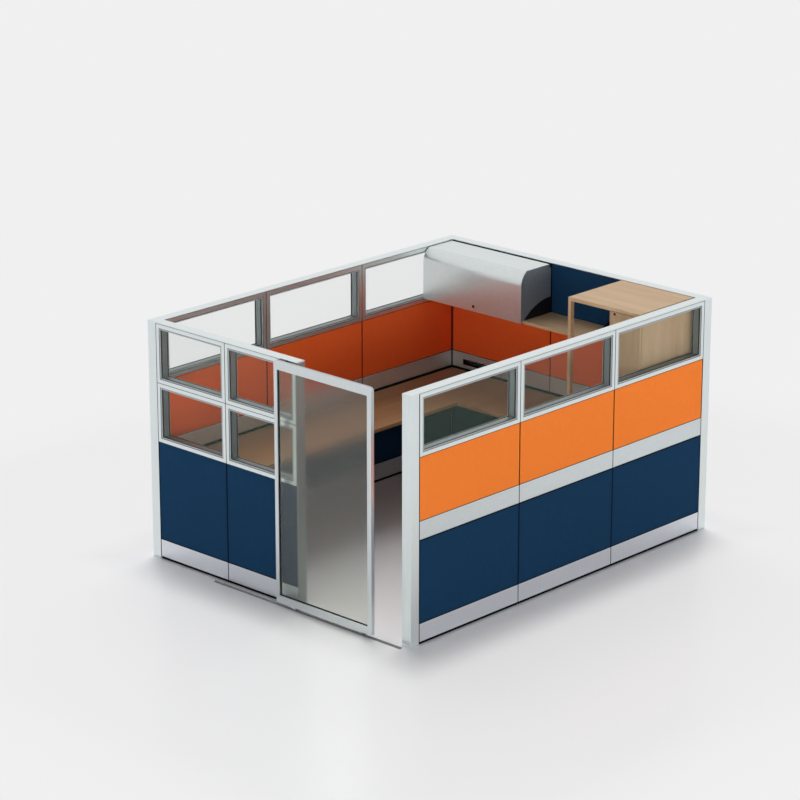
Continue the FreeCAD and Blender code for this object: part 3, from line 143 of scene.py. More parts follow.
def ring(low, high, axis, face, width, height):
    """A lip round a rectangle: its profile stands on a face square to an axis, mitred corners.

    low and high are the rectangle's corners in space; the lip's width goes inward from it, and
    its height, which may be negative, goes along the axis from the face. The profile is highest
    at the rectangle and slopes down to its inner side."""
    first, second = (axis + 1) % 3, (axis + 2) % 3
    turns = np.array([(1, 1), (-1, 1), (-1, -1), (1, -1)], float)
    path, across, deep = np.zeros((4, 3)), np.zeros((4, 3)), np.zeros((4, 3))
    path[:, axis] = face
    path[:, first] = np.where(turns[:, 0] > 0, low[first], high[first])
    path[:, second] = np.where(turns[:, 1] > 0, low[second], high[second])
    across[:, first], across[:, second] = turns[:, 0], turns[:, 1]
    deep[:, axis] = 1.0
    profile = np.array([(0, 0), (width, 0), (width, 0.5 * height), (0.7 * width, 0.85 * height),
                        (0.4 * width, height), (0, height)])
    return carried(path, across, deep, profile, closed=True)


def solid_boxes(node):
    """Lowest and highest corners of each separate solid in a CAD node, in metres.

    Corners at one place get one number, and each triangle hands its lowest label to its three
    corners until no label changes, so that every solid ends with one label."""
    mesh = frame["nodes"][node].data
    places = np.empty(len(mesh.vertices) * 3)
    mesh.vertices.foreach_get("co", places)
    places = places.reshape(-1, 3)
    corners = np.empty(len(mesh.loops), int)
    mesh.loops.foreach_get("vertex_index", corners)
    spots, number = np.unique(np.round(places, 6), axis=0, return_inverse=True)
    triangles = number.ravel()[corners].reshape(-1, 3)
    label = np.arange(len(spots))
    while True:
        lowest = label[triangles].min(axis=1)
        new = label.copy()
        np.minimum.at(new, triangles.ravel(), np.repeat(lowest, 3))
        if (new == label).all():
            break
        label = new
    groups = [spots[label == one] for one in np.unique(label)]
    return [(group.min(axis=0), group.max(axis=0)) for group in groups]


def piece(name, shape, finish, body, nodes=(), crease=SOFT_CREASE):
    """A mesh object made of one shape, with a finish, riding on a body in place of CAD nodes."""
    points, faces = shape
    mesh = bpy.data.meshes.new(name)
    mesh.from_pydata(points.tolist(), [], faces)
    mesh.validate()
    loose = bmesh.new()
    loose.from_mesh(mesh)
    bmesh.ops.recalc_face_normals(loose, faces=loose.faces)
    loose.to_mesh(mesh)
    loose.free()
    mesh.shade_smooth()
    mesh.set_sharp_from_angle(angle=math.radians(crease))
    mesh.materials.append(finish)
    thing = bpy.data.objects.new(name, mesh)
    bpy.context.scene.collection.objects.link(thing)
    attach(thing, body)
    if nodes:
        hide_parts(*nodes)


# Finishes


def paint(red, green, blue):
    """A colour given as 0 to 255 on a screen, as the linear colour that a shader takes."""
    def channel(value):
        share = value / 255
        return share / 12.92 if share <= 0.04045 else ((share + 0.055) / 1.055) ** 2.4
    return (channel(red), channel(green), channel(blue), 1.0)


class Wire:
    """A number that changes over a surface: an output socket whose operators add Math nodes."""

    def __init__(self, finish, socket):
        self.finish, self.socket = finish, socket

    def math(self, operation, *others, first=True):
        terms = (self, *others) if first else (*others, self)
        node = self.finish.node("ShaderNodeMath", {"operation": operation},
                                dict(zip(("Value", "Value_001"), terms)))
        return Wire(self.finish, node.outputs[0])

    def __add__(self, other):
        return self.math("ADD", other)

    def __sub__(self, other):
        return self.math("SUBTRACT", other)

    def __rsub__(self, other):
        return self.math("SUBTRACT", other, first=False)

    def __mul__(self, other):
        return self.math("MULTIPLY", other)

    __radd__, __rmul__ = __add__, __mul__

    def sine(self):
        return self.math("SINE")

    def between(self, low, high):
        """0 up to low, 1 from high on, and a smooth rise between them."""
        node = self.finish.node("ShaderNodeMapRange", {"interpolation_type": "SMOOTHSTEP"},
                                {"Value": self, "From Min": low, "From Max": high})
        return Wire(self.finish, node.outputs[0])


class Nodes:
    """A node tree whose nodes are made by one method."""

    def __init__(self, tree):
        self.tree = tree
        self.tree.nodes.clear()

    def node(self, kind, settings=None, inputs=None):
        """A node of one type: its settings first, then the values or links of its sockets."""
        node = self.tree.nodes.new(kind)
        for name, value in (settings or {}).items():
            setattr(node, name, value)
        for name, value in (inputs or {}).items():
            socket = next(s for s in node.inputs if s.identifier == name)
            value = value.socket if isinstance(value, Wire) else value
            if isinstance(value, bpy.types.NodeSocket):
                self.tree.links.new(value, socket)
            else:
                socket.default_value = value
        return node


class Finish(Nodes):
    """A material: the place on the object, textures read there, and the shader."""

    def __init__(self, name):
        self.material = bpy.data.materials.new(name)
        self.material.use_nodes = True
        super().__init__(self.material.node_tree)
        self.place = self.node("ShaderNodeTexCoord").outputs["Object"]

    def stretched(self, scale):
        """The place on the object with each direction multiplied by its own number."""
        node = self.node("ShaderNodeVectorMath", {"operation": "MULTIPLY"},
                         {"Vector": self.place, "Vector_001": scale})
        return node.outputs[0]

    def along(self):
        """The place on the object as three numbers."""
        node = self.node("ShaderNodeSeparateXYZ", None, {"Vector": self.place})
        return [Wire(self, socket) for socket in node.outputs]

    def cloud(self, scale, detail=3.0, roughness=0.5, distortion=0.0):
        """Noise from 0 to 1, whose scale is one number or one for each direction."""
        vector = self.stretched(scale) if isinstance(scale, tuple) else self.place
        each = 1.0 if isinstance(scale, tuple) else scale
        node = self.node("ShaderNodeTexNoise", None,
                         {"Vector": vector, "Scale": each, "Detail": detail,
                          "Roughness": roughness, "Distortion": distortion})
        return Wire(self, node.outputs[0])

    def mixed(self, share, first, second):
        """A colour between two colours: the third output of a Mix node."""
        node = self.node("ShaderNodeMix", {"data_type": "RGBA"},
                         {"Factor_Float": share, "A_Color": first, "B_Color": second})
        return node.outputs[2]

    def relief(self, height, depth):
        """A Bump node for a height of 0 to 1 over a depth in metres."""
        node = self.node("ShaderNodeBump", None, {"Height": height, "Distance": depth})
        return node.outputs[0]

    def done(self, colour, roughness, **others):
        """The Principled shader with its sockets, and the finished material."""
        names = {"metallic": "Metallic", "normal": "Normal", "alpha": "Alpha",
                 "specular": "Specular IOR Level"}
        sockets = {"Base Color": colour, "Roughness": roughness}
        sockets.update({names[key]: value for key, value in others.items()})
        return self.shown(self.node("ShaderNodeBsdfPrincipled", None, sockets).outputs[0])

    def shown(self, shader):
        """The finished material of a shader."""
        self.node("ShaderNodeOutputMaterial", None, {"Surface": shader})
        return self.material


def uneven(pattern, middle, spread):
    """A roughness that a pattern of 0 to 1 varies by a spread round its middle."""
    return pattern * spread + (middle - spread / 2)


THREAD, CLOTH_DEPTH = 1.6 * MM, 0.4 * MM
LONG_SLUBS, TALL_SLUBS = (60.0, 60.0, 500.0), (500.0, 500.0, 60.0)
# Over this width the cloth's painted bay shade blends in
BAY_SHADE_BLEND = 2.0 * MM


def fabric(name, light, dark, inner=None):
    """Woven panel cloth: warp and weft threads that cross, slubs along them and a soft mottle.

    A wall runs along x or along y, so x + y counts the upright threads on every wall. inner is the
    pair of colours on the faces that are turned into the bay: a redder, darker copy of the cloth,
    painted shade and painted bounce light for the inside of the bay."""
    finish = Finish(name)
    x, y, z = finish.along()
    turn = 2 * math.pi / THREAD
    warp = ((x + y) * turn).sine()
    weft = (z * turn).sine()
    weave = warp * weft * 0.5 + 0.5
    slub = finish.cloud(TALL_SLUBS, 2.0) * 0.5 + finish.cloud(LONG_SLUBS, 2.0) * 0.5
    mottle = finish.cloud(28.0, 4.0, 0.6)
    speckle = finish.cloud(260.0, 2.0, 0.7)
    share = weave * 0.22 + slub * 0.35 + mottle * 0.23 + speckle * 0.20
    share = share.between(0.25, 0.75)
    colour = finish.mixed(share, dark, light)
    # Painted shade: faces turned into the bay get a redder, darker copy of the cloth for the shade
    # and bounce light inside
    if inner:
        (_, right), (_, back) = WALL_MIDDLES
        outside = (x.math("ABSOLUTE") - right).math("MAXIMUM", y - back)
        bay_shaded = finish.mixed(share, inner[1], inner[0])
        colour = finish.mixed(outside.between(-BAY_SHADE_BLEND, BAY_SHADE_BLEND), bay_shaded, colour)
    height = weave * 0.6 + speckle * 0.4
    return finish.done(colour, 0.92, normal=finish.relief(height, CLOTH_DEPTH), specular=0.06)


PEEL_SCALE, PEEL_DEPTH = 700.0, 0.03 * MM
STREAK_SPREAD = 0.08


def metal(name, light, dark, roughness, metallic, drawn=(60.0, 60.0, 60.0), specular=0.5):
    """Anodised or coated metal: faint streaks where it was drawn, and a fine peel."""
    finish = Finish(name)
    streak = finish.cloud(drawn, 3.0, 0.55)
    peel = finish.cloud(PEEL_SCALE, 1.0)
    colour = finish.mixed(streak.between(0.3, 0.7), dark, light)
    return finish.done(colour, uneven(streak, roughness, STREAK_SPREAD), metallic=metallic,
                       specular=specular, normal=finish.relief(peel, PEEL_DEPTH))


ALUMINIUM = (paint(234, 241, 240), paint(227, 234, 234))
# Painted shade: the dull dark grey of the rebate stands in for the shade in the recess between the
# panes
REBATE_SHADE_GREY = paint(132, 139, 139)
REBATE_END, FACE_START = 36.0 * MM, 37.5 * MM


def window_bar(name, axis):
    """The frames' aluminium, with painted shade: a dull dark grey where the rebate lies deeper
    than the face, for the shade in that recess.

    The rebate ends and the face starts at their distances from the middle of the wall. axis is
    0 for walls that face along x and 1 for the front wall, which faces along y."""
    finish = Finish(name)
    place = finish.along()[axis]
    if axis == 0:
        middle = place.math("ABSOLUTE") - WALL_MIDDLES[0][1]
    else:
        middle = place - WALL_MIDDLES[1][0]
    face = middle.math("ABSOLUTE").between(REBATE_END, FACE_START)
    streak = finish.cloud((90.0, 90.0, 90.0), 3.0, 0.55)
    # Painted shade in the rebate: grey and less metallic than the face
    colour = finish.mixed(face, REBATE_SHADE_GREY, finish.mixed(streak, ALUMINIUM[1], ALUMINIUM[0]))
    peel = finish.cloud(PEEL_SCALE, 1.0)
    return finish.done(colour, uneven(streak, 0.32, STREAK_SPREAD), metallic=face * 0.6 + 0.3,
                       normal=finish.relief(peel, PEEL_DEPTH))


def plastic(name, light, dark, roughness, specular=0.5):
    """Moulded plastic with a fine grain."""
    finish = Finish(name)
    grain = finish.cloud(900.0, 2.0)
    colour = finish.mixed(grain.between(0.3, 0.7), dark, light)
    return finish.done(colour, uneven(grain, roughness, 0.1), specular=specular,
                       normal=finish.relief(grain, 0.06 * MM))


def wood(name, light, dark, grain, roughness):
    """Oak laminate: long streaks along the grain, broad figure, and short dark pores.

    grain is 0, 1 or 2 for boards whose grain runs along x, y or z."""
    finish = Finish(name)

    def along_grain(slow, fast):
        return tuple(slow if axis == grain else fast for axis in range(3))

    figure = finish.cloud(along_grain(0.9, 9.0), 4.0, 0.6, 0.4)
    streak = finish.cloud(along_grain(3.0, 160.0), 4.0, 0.65)
    pore = finish.cloud(along_grain(14.0, 900.0), 2.0, 0.6)
    share = figure * 0.45 + streak * 0.4 + pore * 0.15
    colour = finish.mixed(share.between(0.34, 0.66), dark, light)
    height = streak * 0.5 + pore * 0.5
    return finish.done(colour, uneven(streak, roughness, 0.12), specular=0.3,
                       normal=finish.relief(height, 0.08 * MM))


def clear_glass(name):
    """Float glass that lets most light straight through, with a faint smear on it."""
    finish = Finish(name)
    smear = finish.cloud(3.0, 3.0, 0.6)
    return finish.done(paint(150, 173, 155), uneven(smear, 0.04, 0.04), alpha=0.03, specular=0.2)


def frosted(name):
    """Etched glass: light passes but scatters, a little more where the etching is heavier.

    Shadow rays pass straight through, so that what stands behind the glass is lit."""
    finish = Finish(name)
    etch = finish.cloud(2.0, 3.0, 0.6)
    grain = finish.cloud(1500.0, 1.0)
    body = finish.node("ShaderNodeBsdfPrincipled", None,
                       {"Base Color": paint(230, 233, 227), "Roughness": uneven(etch, 0.235, 0.03),
                        "Transmission Weight": 0.96, "IOR": 1.2,
                        "Normal": finish.relief(grain, 0.02 * MM)})
    passed = finish.node("ShaderNodeBsdfTransparent", None, {"Color": paint(226, 230, 226)})
    shadow_ray = finish.node("ShaderNodeLightPath").outputs["Is Shadow Ray"]
    return finish.shown(finish.node("ShaderNodeMixShader", None,
                                    {"Fac": shadow_ray, "Shader": body.outputs[0],
                                     "Shader_001": passed.outputs[0]}).outputs[0])


# How fine the streaks of drawn metal are along x, y and z
UPRIGHT, LEVEL = (420.0, 420.0, 2.0), (30.0, 30.0, 420.0)

FINISHES = {
    "frame_aluminium": metal("satin_aluminium", *ALUMINIUM, 0.32, 0.9, UPRIGHT),
    "bead_plastic": plastic("bead_plastic", paint(170, 176, 177), paint(158, 165, 166), 0.45),
    # Painted shade: the panel frames are near black so that the gaps in front of them read as
    # shadow
    "panel_steel": metal("frame_steel_painted_shade", paint(12, 12, 14), paint(8, 8, 10), 0.75, 0.0,
                         specular=0.05),
    "base_steel": metal("base_silver_paint", paint(227, 230, 235), paint(220, 223, 229), 0.38,
                        0.80, LEVEL),
    "strip_steel": metal("strip_silver_paint", paint(220, 227, 227), paint(213, 220, 221), 0.40,
                         0.80, LEVEL),
    "navy_fabric": fabric("navy_fabric", paint(27, 63, 95), paint(20, 51, 79)),
    # The inner pair is painted shade: the orange made redder and darker on the faces inside the
    # bay
    "orange_fabric": fabric("orange_fabric", paint(255, 141, 60), paint(248, 126, 49),
                            inner=(paint(253, 111, 52), paint(244, 99, 44))),
    "window_glass": clear_glass("window_glass"),
    "foot_steel": metal("foot_steel", paint(48, 49, 52), paint(36, 37, 40), 0.5, 0.7),
    "track_aluminium": metal("track_aluminium", paint(150, 152, 154), paint(132, 134, 137), 0.4,
                             0.7),
    "door_aluminium": metal("door_aluminium", paint(222, 228, 228), paint(213, 219, 220), 0.32,
                            0.85, UPRIGHT),
    "frosted_glass": frosted("frosted_glass"),
    "roller_plastic": plastic("roller_nylon", paint(30, 30, 32), paint(22, 22, 24), 0.4),
    "fork_steel": metal("fork_steel", paint(150, 152, 155), paint(136, 138, 142), 0.35, 0.9),
    "guard_plastic": plastic("guard_plastic", paint(216, 219, 219), paint(206, 210, 210), 0.4),
    "guide_plastic": plastic("guide_plastic", paint(24, 28, 44), paint(17, 20, 33), 0.45),
    # Painted shade: the desk is a darker, warmer copy of the oak laminate, for the shade and
    # orange bounce light inside the bay
    "desk_board": wood("desk_laminate_painted_shade", paint(176, 138, 99), paint(156, 118, 81), 1, 0.45),
    "black_steel": metal("black_powder_coat", paint(16, 16, 17), paint(12, 12, 13), 0.6, 0.0,
                         specular=0.2),
    "outlet_plastic": plastic("outlet_plastic", paint(16, 17, 18), paint(11, 12, 13), 0.75, 0.05),
    "oak_board": wood("oak_laminate", paint(214, 183, 147), paint(193, 159, 120), 0, 0.45),
    "cabinet_oak": wood("cabinet_laminate", paint(204, 174, 138), paint(184, 150, 112), 2, 0.45),
    "hood_paint": metal("hood_silver_paint", paint(226, 231, 230), paint(222, 228, 227), 0.30,
                        0.80, (25.0, 25.0, 25.0)),
    # Painted shade and painted reflection: the end panels are a dark blue-grey copy of the hood's
    # silver, for their shaded side and the navy cloth mirrored in it
    "end_paint": metal("end_panel_painted_shade", paint(140, 150, 158), paint(130, 140, 149), 0.42, 0.3),
    "pin_steel": metal("pin_steel", paint(170, 172, 175), paint(156, 158, 162), 0.25, 0.95),
    "lock_chrome": metal("lock_chrome", paint(120, 116, 112), paint(96, 92, 90), 0.22, 0.9),
}

# Finishes of nodes that look different from the rest of their slot. The wall end trim's darker
# aluminium is painted shade, for the shadow its face stands in.
SHADED_END_TRIM = metal("end_trim_painted_shade", paint(150, 157, 157), paint(143, 150, 151), 0.45, 0.6,
                 UPRIGHT)
WINDOW_BARS = {"side": window_bar("side_window_bars", 0),
               "front": window_bar("front_window_bars", 1)}


# Every CAD node keeps its mesh and gets a finish

for part in frame["record"]["subparts"]:
    node = frame["nodes"][part["node"]]
    finish = FINISHES[part["material_slot"]]
    if not node.data.materials:
        node.data.materials.append(finish)
    if part["node"].endswith("window_frames"):
        finish = WINDOW_BARS["front" if part["node"].startswith("front") else "side"]
    # Painted shade: the wall end trim gets the darker aluminium
    if part["node"] == "wall_end_trim":
        finish = SHADED_END_TRIM
    for place in range(len(node.material_slots)):
        node.material_slots[place].material = finish


# Corner posts

POST_ROUND = 3.0 * MM
UNDER_CAP = 4.0 * MM
for node in ("post_front_left", "post_front_right", "post_back_left", "post_back_right"):
    low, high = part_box(node)
    tall = Vector((high.x, high.y, high.z + UNDER_CAP))
    piece(f"{node}_drawn", rounded_block(low, tall, POST_ROUND), FINISHES["frame_aluminium"],
          "cubicle", (node,))


# Fabric tiles

TILE_ROUND = 2.5 * MM
SEAM_ROOM = 2.5 * MM
# Height of a level joint: between most covers, over the base covers and under the strips
JOINT, BASE_JOINT, STRIP_JOINT = 4.0 * MM, 7.0 * MM, 9.0 * MM
BASE_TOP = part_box("base_covers")[1].z
STRIP_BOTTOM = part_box("service_strips")[0].z


def tile(low, high):
    """A tile that stands back from the upright seams, the base covers and the service strips.

    A block with round edges, from the CAD tile's lowest corner to its highest. It is shorter by
    a seam's room at both ends, and its foot or head leaves the joint beside it."""
    along = int(np.argmax((high - low)[:2]))
    room = np.eye(3)[along] * SEAM_ROOM
    low, high = low + room, high - room
    if abs(low[2] - BASE_TOP) < 2 * JOINT:
        low[2] = BASE_TOP + BASE_JOINT
    if abs(high[2] - STRIP_BOTTOM) < 2 * JOINT:
        high[2] = STRIP_BOTTOM - STRIP_JOINT
    return rounded_block(low, high, TILE_ROUND)


for node, slot in (("left_navy_tiles", "navy_fabric"), ("right_navy_tiles", "navy_fabric"),
                   ("back_navy_tiles", "navy_fabric"), ("front_navy_tiles", "navy_fabric"),
                   ("left_orange_tiles", "orange_fabric"), ("right_orange_tiles", "orange_fabric"),
                   ("back_orange_tiles", "orange_fabric")):
    piece(f"{node}_cloth", joined([tile(low, high) for low, high in solid_boxes(node)]),
          FINISHES[slot], "cubicle", (node,))


# Black strips and blocks in the joints, seams and gaps, all painted shade for the shadow that
# falls in them

# How far the strips lie behind the faces beside them, and the rounding of their edges
SHALLOW, STRIP_ROUND = 0.4 * MM, 0.4 * MM
WINDOW_HEIGHT = 416.0 * MM


def outward(low, high, axis):
    """1 or -1: the side of its wall's middle on which a cover lies."""
    middle = (low[axis] + high[axis]) / 2
    wall = min(WALL_MIDDLES[axis], key=lambda place: abs(place - middle))
    return 1 if middle > wall else -1


def joint(low, high, bottom, height=JOINT):
    """The black strip of one level joint, painted shade: a block as long as the cover beside it, a
    little behind it.
    """
    axis = int(np.argmin((high - low)[:2]))
    low, high = low.copy(), high.copy()
    if outward(low, high, axis) > 0:
        high[axis] -= SHALLOW
    else:
        low[axis] += SHALLOW
    low[2], high[2] = bottom, bottom + height
    return rounded_block(low, high, STRIP_ROUND, 2)


def joint_shade_strips():
    """Black strips, painted shade for the shadow in the joints: over the base covers, the service
    strips and the tiles, under the service strips, and between the upper and lower windows of the
    front wall."""
    shapes = [joint(low, high, high[2], BASE_JOINT) for low, high in solid_boxes("base_covers")]
    for low, high in solid_boxes("service_strips"):
        shapes += [joint(low, high, low[2] - STRIP_JOINT, STRIP_JOINT), joint(low, high, high[2])]
    for node in ("left_orange_tiles", "right_orange_tiles", "back_orange_tiles",
                 "front_navy_tiles"):
        shapes += [joint(low, high, high[2]) for low, high in solid_boxes(node)]
    window_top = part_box("front_window_frames")[1].z
    for low, high in solid_boxes("front_navy_tiles"):
        shapes.append(joint(low, high, window_top - WINDOW_HEIGHT - JOINT))
    return joined(shapes)


# How far the black blocks of painted shade under the base covers lie behind the covers, how far
# they stay off the floor and lap up inside
LIP_FRONT, LIP_BACK, LIP_LIFT = 3.0 * MM, 9.0 * MM, 1.0 * MM


def base_gap_shade_blocks():
    """Black blocks, painted shade, in the gap between the base covers and the floor where only
    shadow falls.

    Each is a block with round edges, as long as its cover."""
    shapes = []
    for low, high in solid_boxes("base_covers"):
        axis = int(np.argmin((high - low)[:2]))
        foot, head = low.copy(), high.copy()
        if outward(low, high, axis) > 0:
            foot[axis], head[axis] = high[axis] - LIP_BACK, high[axis] - LIP_FRONT
        else:
            foot[axis], head[axis] = low[axis] + LIP_FRONT, low[axis] + LIP_BACK
        foot[2], head[2] = LIP_LIFT, low[2] + LIP_LIFT
        shapes.append(rounded_block(foot, head, STRIP_ROUND, 2))
    return joined(shapes)


DESK_GAP, GAP_PLAY = 10.0 * MM, 0.3 * MM
UPSTAND, UPSTAND_DEPTH, UPSTAND_ROUND = 14.0 * MM, 24.0 * MM, 0.8 * MM


def desk_gap_shade_strips():
    """Black strips, painted shade, in the gap between the desk's edges and the walls, where shadow
    falls.

    Each is a block with round edges that stands a little above the desk, one along the left
    wall and one along the back wall."""
    desk_low, desk_high = (np.array(corner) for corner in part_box("desk_left_run"))
    back_low, back_high = (np.array(corner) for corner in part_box("desk_back_run"))
    top = desk_high[2] + UPSTAND
    foot = top - UPSTAND_DEPTH
    left = ((desk_low[0] - DESK_GAP + GAP_PLAY, desk_low[1], foot),
            (desk_low[0] - GAP_PLAY, back_high[1], top))
    back = ((back_low[0], back_high[1] + GAP_PLAY, foot),
            (back_high[0], back_high[1] + DESK_GAP - GAP_PLAY, top))
    return joined([rounded_block(low, high, UPSTAND_ROUND, 2) for low, high in (left, back)])


COVER_THICKNESS = 14.0 * MM


def seam_shade_fillers():
    """The slotted strips of the upright seams, deepened to end a little behind the wall's faces:
    near black, painted shade for the shadow in the seams.

    Each is a block with round edges that reaches through the covers on both sides."""
    shapes = []
    for low, high in solid_boxes("seam_strips"):
        axis = int(np.argmax((high - low)[:2]))
        reach = np.zeros(3)
        reach[axis] = COVER_THICKNESS - SHALLOW
        shapes.append(rounded_block(low - reach, high + reach, STRIP_ROUND, 2))
    return joined(shapes)


# Painted shade: these black pieces fill joints, seams and gaps where only shadow falls
piece("joint_shade_strips", joint_shade_strips(), FINISHES["outlet_plastic"], "cubicle")
piece("base_gap_shade_blocks", base_gap_shade_blocks(), FINISHES["outlet_plastic"], "cubicle")
piece("desk_gap_shade_strips", desk_gap_shade_strips(), FINISHES["outlet_plastic"], "cubicle")
piece("seam_strips_shade_fill", seam_shade_fillers(), FINISHES["panel_steel"], "cubicle",
      ("seam_strips",))


# Black lips that seal the glass, and black strips in the grooves beside the beads that are painted
# shade

SEAL_WIDTH, SEAL_INSET = 4.0 * MM, 8.0 * MM
WINDOW_SEAL, DOOR_SEAL = 7.0 * MM, 4.0 * MM


def pane_seals(node, height, faces):
    """A lip on every pane of a node, starting where the frame stops hiding the pane's edge.

    faces is "outer" for the pane face turned away from the middle of the wall, or "both"."""
    middle = sum(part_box(node), Vector()) / 2
    rings = []
    for low, high in solid_boxes(node):
        axis = int(np.argmin(high - low))
        out = 1.0 if (low[axis] + high[axis]) / 2 > middle[axis] else -1.0
        sides = (out,) if faces == "outer" else (-1.0, 1.0)
        for side in sides:
            face = high[axis] if side > 0 else low[axis]
            rings.append(ring(low + SEAL_INSET, high - SEAL_INSET, axis, face, SEAL_WIDTH,
                              side * height))
    return joined(rings)


# Size of the black strips of painted shade in the bead grooves
GROOVE, GASKET_WIDTH, GASKET_HEIGHT = 2.9 * MM, 5.0 * MM, 10.5 * MM


def bead_groove_shade():
    """A black strip in the groove between each window's bars and beads, lapping on the bead:
    painted shade for the shadow in that groove.
    """
    rings = []
    for low, high in solid_boxes("glazing_beads"):
        axis = int(np.argmin(high - low))
        side = outward(low, high, axis)
        face = low[axis] if side > 0 else high[axis]
        rings.append(ring(low - GROOVE, high + GROOVE, axis, face, GASKET_WIDTH,
                          side * GASKET_HEIGHT))
    return joined(rings)


piece("glazing_groove_shade", bead_groove_shade(), FINISHES["outlet_plastic"], "cubicle",
      crease=FINE_CREASE)
for wall in ("left", "right", "front"):
    piece(f"{wall}_window_seals", pane_seals(f"{wall}_window_panes", WINDOW_SEAL, "outer"),
          FINISHES["outlet_plastic"], "cubicle", crease=FINE_CREASE)
piece("door_glass_seals", pane_seals("door_glass", DOOR_SEAL, "both"),
      FINISHES["outlet_plastic"], "door_leaf", crease=FINE_CREASE)


# Hood of the flip-up bin

HOOD_SHEET, HOOD_LIP = 2.5 * MM, 9.0 * MM
BEND_RADIUS, BEND_DROP, BEND_STEPS = 124 * MM, 107 * MM, 25


def hood():
    """The bent sheet: a profile of top, round bend, front and lip carried from end to end.

    The bend is an arc from the upright front to where it meets the top, once on the outside and
    once a sheet's thickness inside."""
    low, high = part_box("bin_hood")
    top, front, back = high.z, low.y, high.y

    def bend(inside):
        radius, drop = BEND_RADIUS - inside, BEND_DROP - inside
        turn = np.linspace(0, math.asin(drop / radius), BEND_STEPS)
        return np.stack((front + BEND_RADIUS - radius * np.cos(turn),
                         top - BEND_DROP + radius * np.sin(turn)), axis=1)

    under = [(front + HOOD_SHEET, low.z + HOOD_SHEET), (front + HOOD_LIP, low.z + HOOD_SHEET),
             (front + HOOD_LIP, low.z), (front, low.z)]
    profile = np.vstack((bend(0.0), [(back, top), (back, top - HOOD_SHEET)],
                         bend(HOOD_SHEET)[::-1], under))
    path = np.array([(low.x, 0, 0), (high.x, 0, 0)])
    across = np.array([(0.0, 1.0, 0.0)] * 2)
    deep = np.array([(0.0, 0.0, 1.0)] * 2)
    return carried(path, across, deep, profile)


def hood_ears():
    """Two hinge ears: an eye turned round each pin, and a flat tab from it up to the sheet."""
    low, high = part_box("bin_hood")
    pin_low, pin_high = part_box("bin_hinge_pins")
    pin_y, pin_z = (pin_low.y + pin_high.y) / 2, (pin_low.z + pin_high.z) / 2
    inset, eye, bore, off_pin, tuck = 5 * MM, 9 * MM, 4.05 * MM, 2 * MM, 1 * MM
    profile = np.array([(bore, 0), (eye, 0), (eye, HOOD_SHEET), (bore, HOOD_SHEET)])
    shapes = []
    for start in (low.x + inset, high.x - inset - HOOD_SHEET):
        shapes.append(turned_round(profile, (start, pin_y, pin_z), (1.0, 0.0, 0.0), 48))
        shapes.append(rounded_block((start, pin_y - eye, pin_z + bore + off_pin),
                                    (start + HOOD_SHEET, high.y, high.z - tuck), 0.5 * MM))
    return joined(shapes)


piece("bin_hood_shell", joined([hood(), hood_ears()]), FINISHES["hood_paint"], "hood",
      ("bin_hood",), FINE_CREASE)


# Rollers of the sliding door

# Outline of a roller as radius and place along its axle: hub, thin web and grooved rim
ROLLER = np.array([(3.05, -7.0), (6.0, -7.0), (6.6, -6.3), (13.4, -6.3), (14.0, -7.0),
                   (15.2, -7.0), (16.0, -6.2), (16.0, -5.2), (12.0, -2.0), (12.0, 2.0),
                   (16.0, 5.2), (16.0, 6.2), (15.2, 7.0), (14.0, 7.0), (13.4, 6.3),
                   (6.6, 6.3), (6.0, 7.0), (3.05, 7.0)]) * MM
for side in ("left", "right"):
    low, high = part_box(f"door_roller_{side}")
    piece(f"door_roller_{side}_turned", turned_round(ROLLER, (low + high) / 2, (0.0, 1.0, 0.0)),
          FINISHES["roller_plastic"], f"{side}_roller",
          (f"door_roller_{side}",), FINE_CREASE)


# Edge band of the sliding door


def edge_band():
    """A grooved profile carried up the leaf's right side, round its corner and along its top."""
    low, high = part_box("door_edge_band")
    round_radius, thick, half = 26 * MM, 10 * MM, (high.y - low.y) / 2
    turn = np.linspace(0, np.pi / 2, 17)
    arc = np.stack((np.cos(turn), np.sin(turn)), axis=1)
    corner = np.array((high.x - round_radius, high.z - round_radius)) + round_radius * arc
    outline = np.vstack(([(high.x, low.z)], corner, [(low.x, high.z)]))
    facing = np.vstack(([(1.0, 0.0)], arc, [(0.0, 1.0)]))
    middle = (low.y + high.y) / 2
    path = np.stack((outline[:, 0], np.full(len(outline), middle), outline[:, 1]), axis=1)
    across = np.stack((facing[:, 0], np.zeros(len(facing)), facing[:, 1]), axis=1)
    deep = np.tile((0.0, 1.0, 0.0), (len(path), 1))
    bevel, groove, depth = 2 * MM, 5 * MM, 4 * MM
    profile = np.array([(-thick, -half), (-bevel, -half), (0, bevel - half), (0, -groove),
                        (-depth, -groove), (-depth, groove), (0, groove), (0, half - bevel),
                        (-bevel, half), (-thick, half)])
    return carried(path, across, deep, profile)


piece("door_edge_band_drawn", edge_band(), FINISHES["door_aluminium"], "door_leaf",
      ("door_edge_band",), FINE_CREASE)


# Floor, light and camera

BACKDROP = paint(240, 240, 241)
FLOOR_HALF = 80.0
FOOTPRINT = (1.22, 1.50)
# Over these distances from the footprint a share of the floor gives way to the backdrop
NEAR_FADE, NEAR_SHARE, FAR_FADE = (0.0, 0.5), 0.72, (0.3, 3.0)


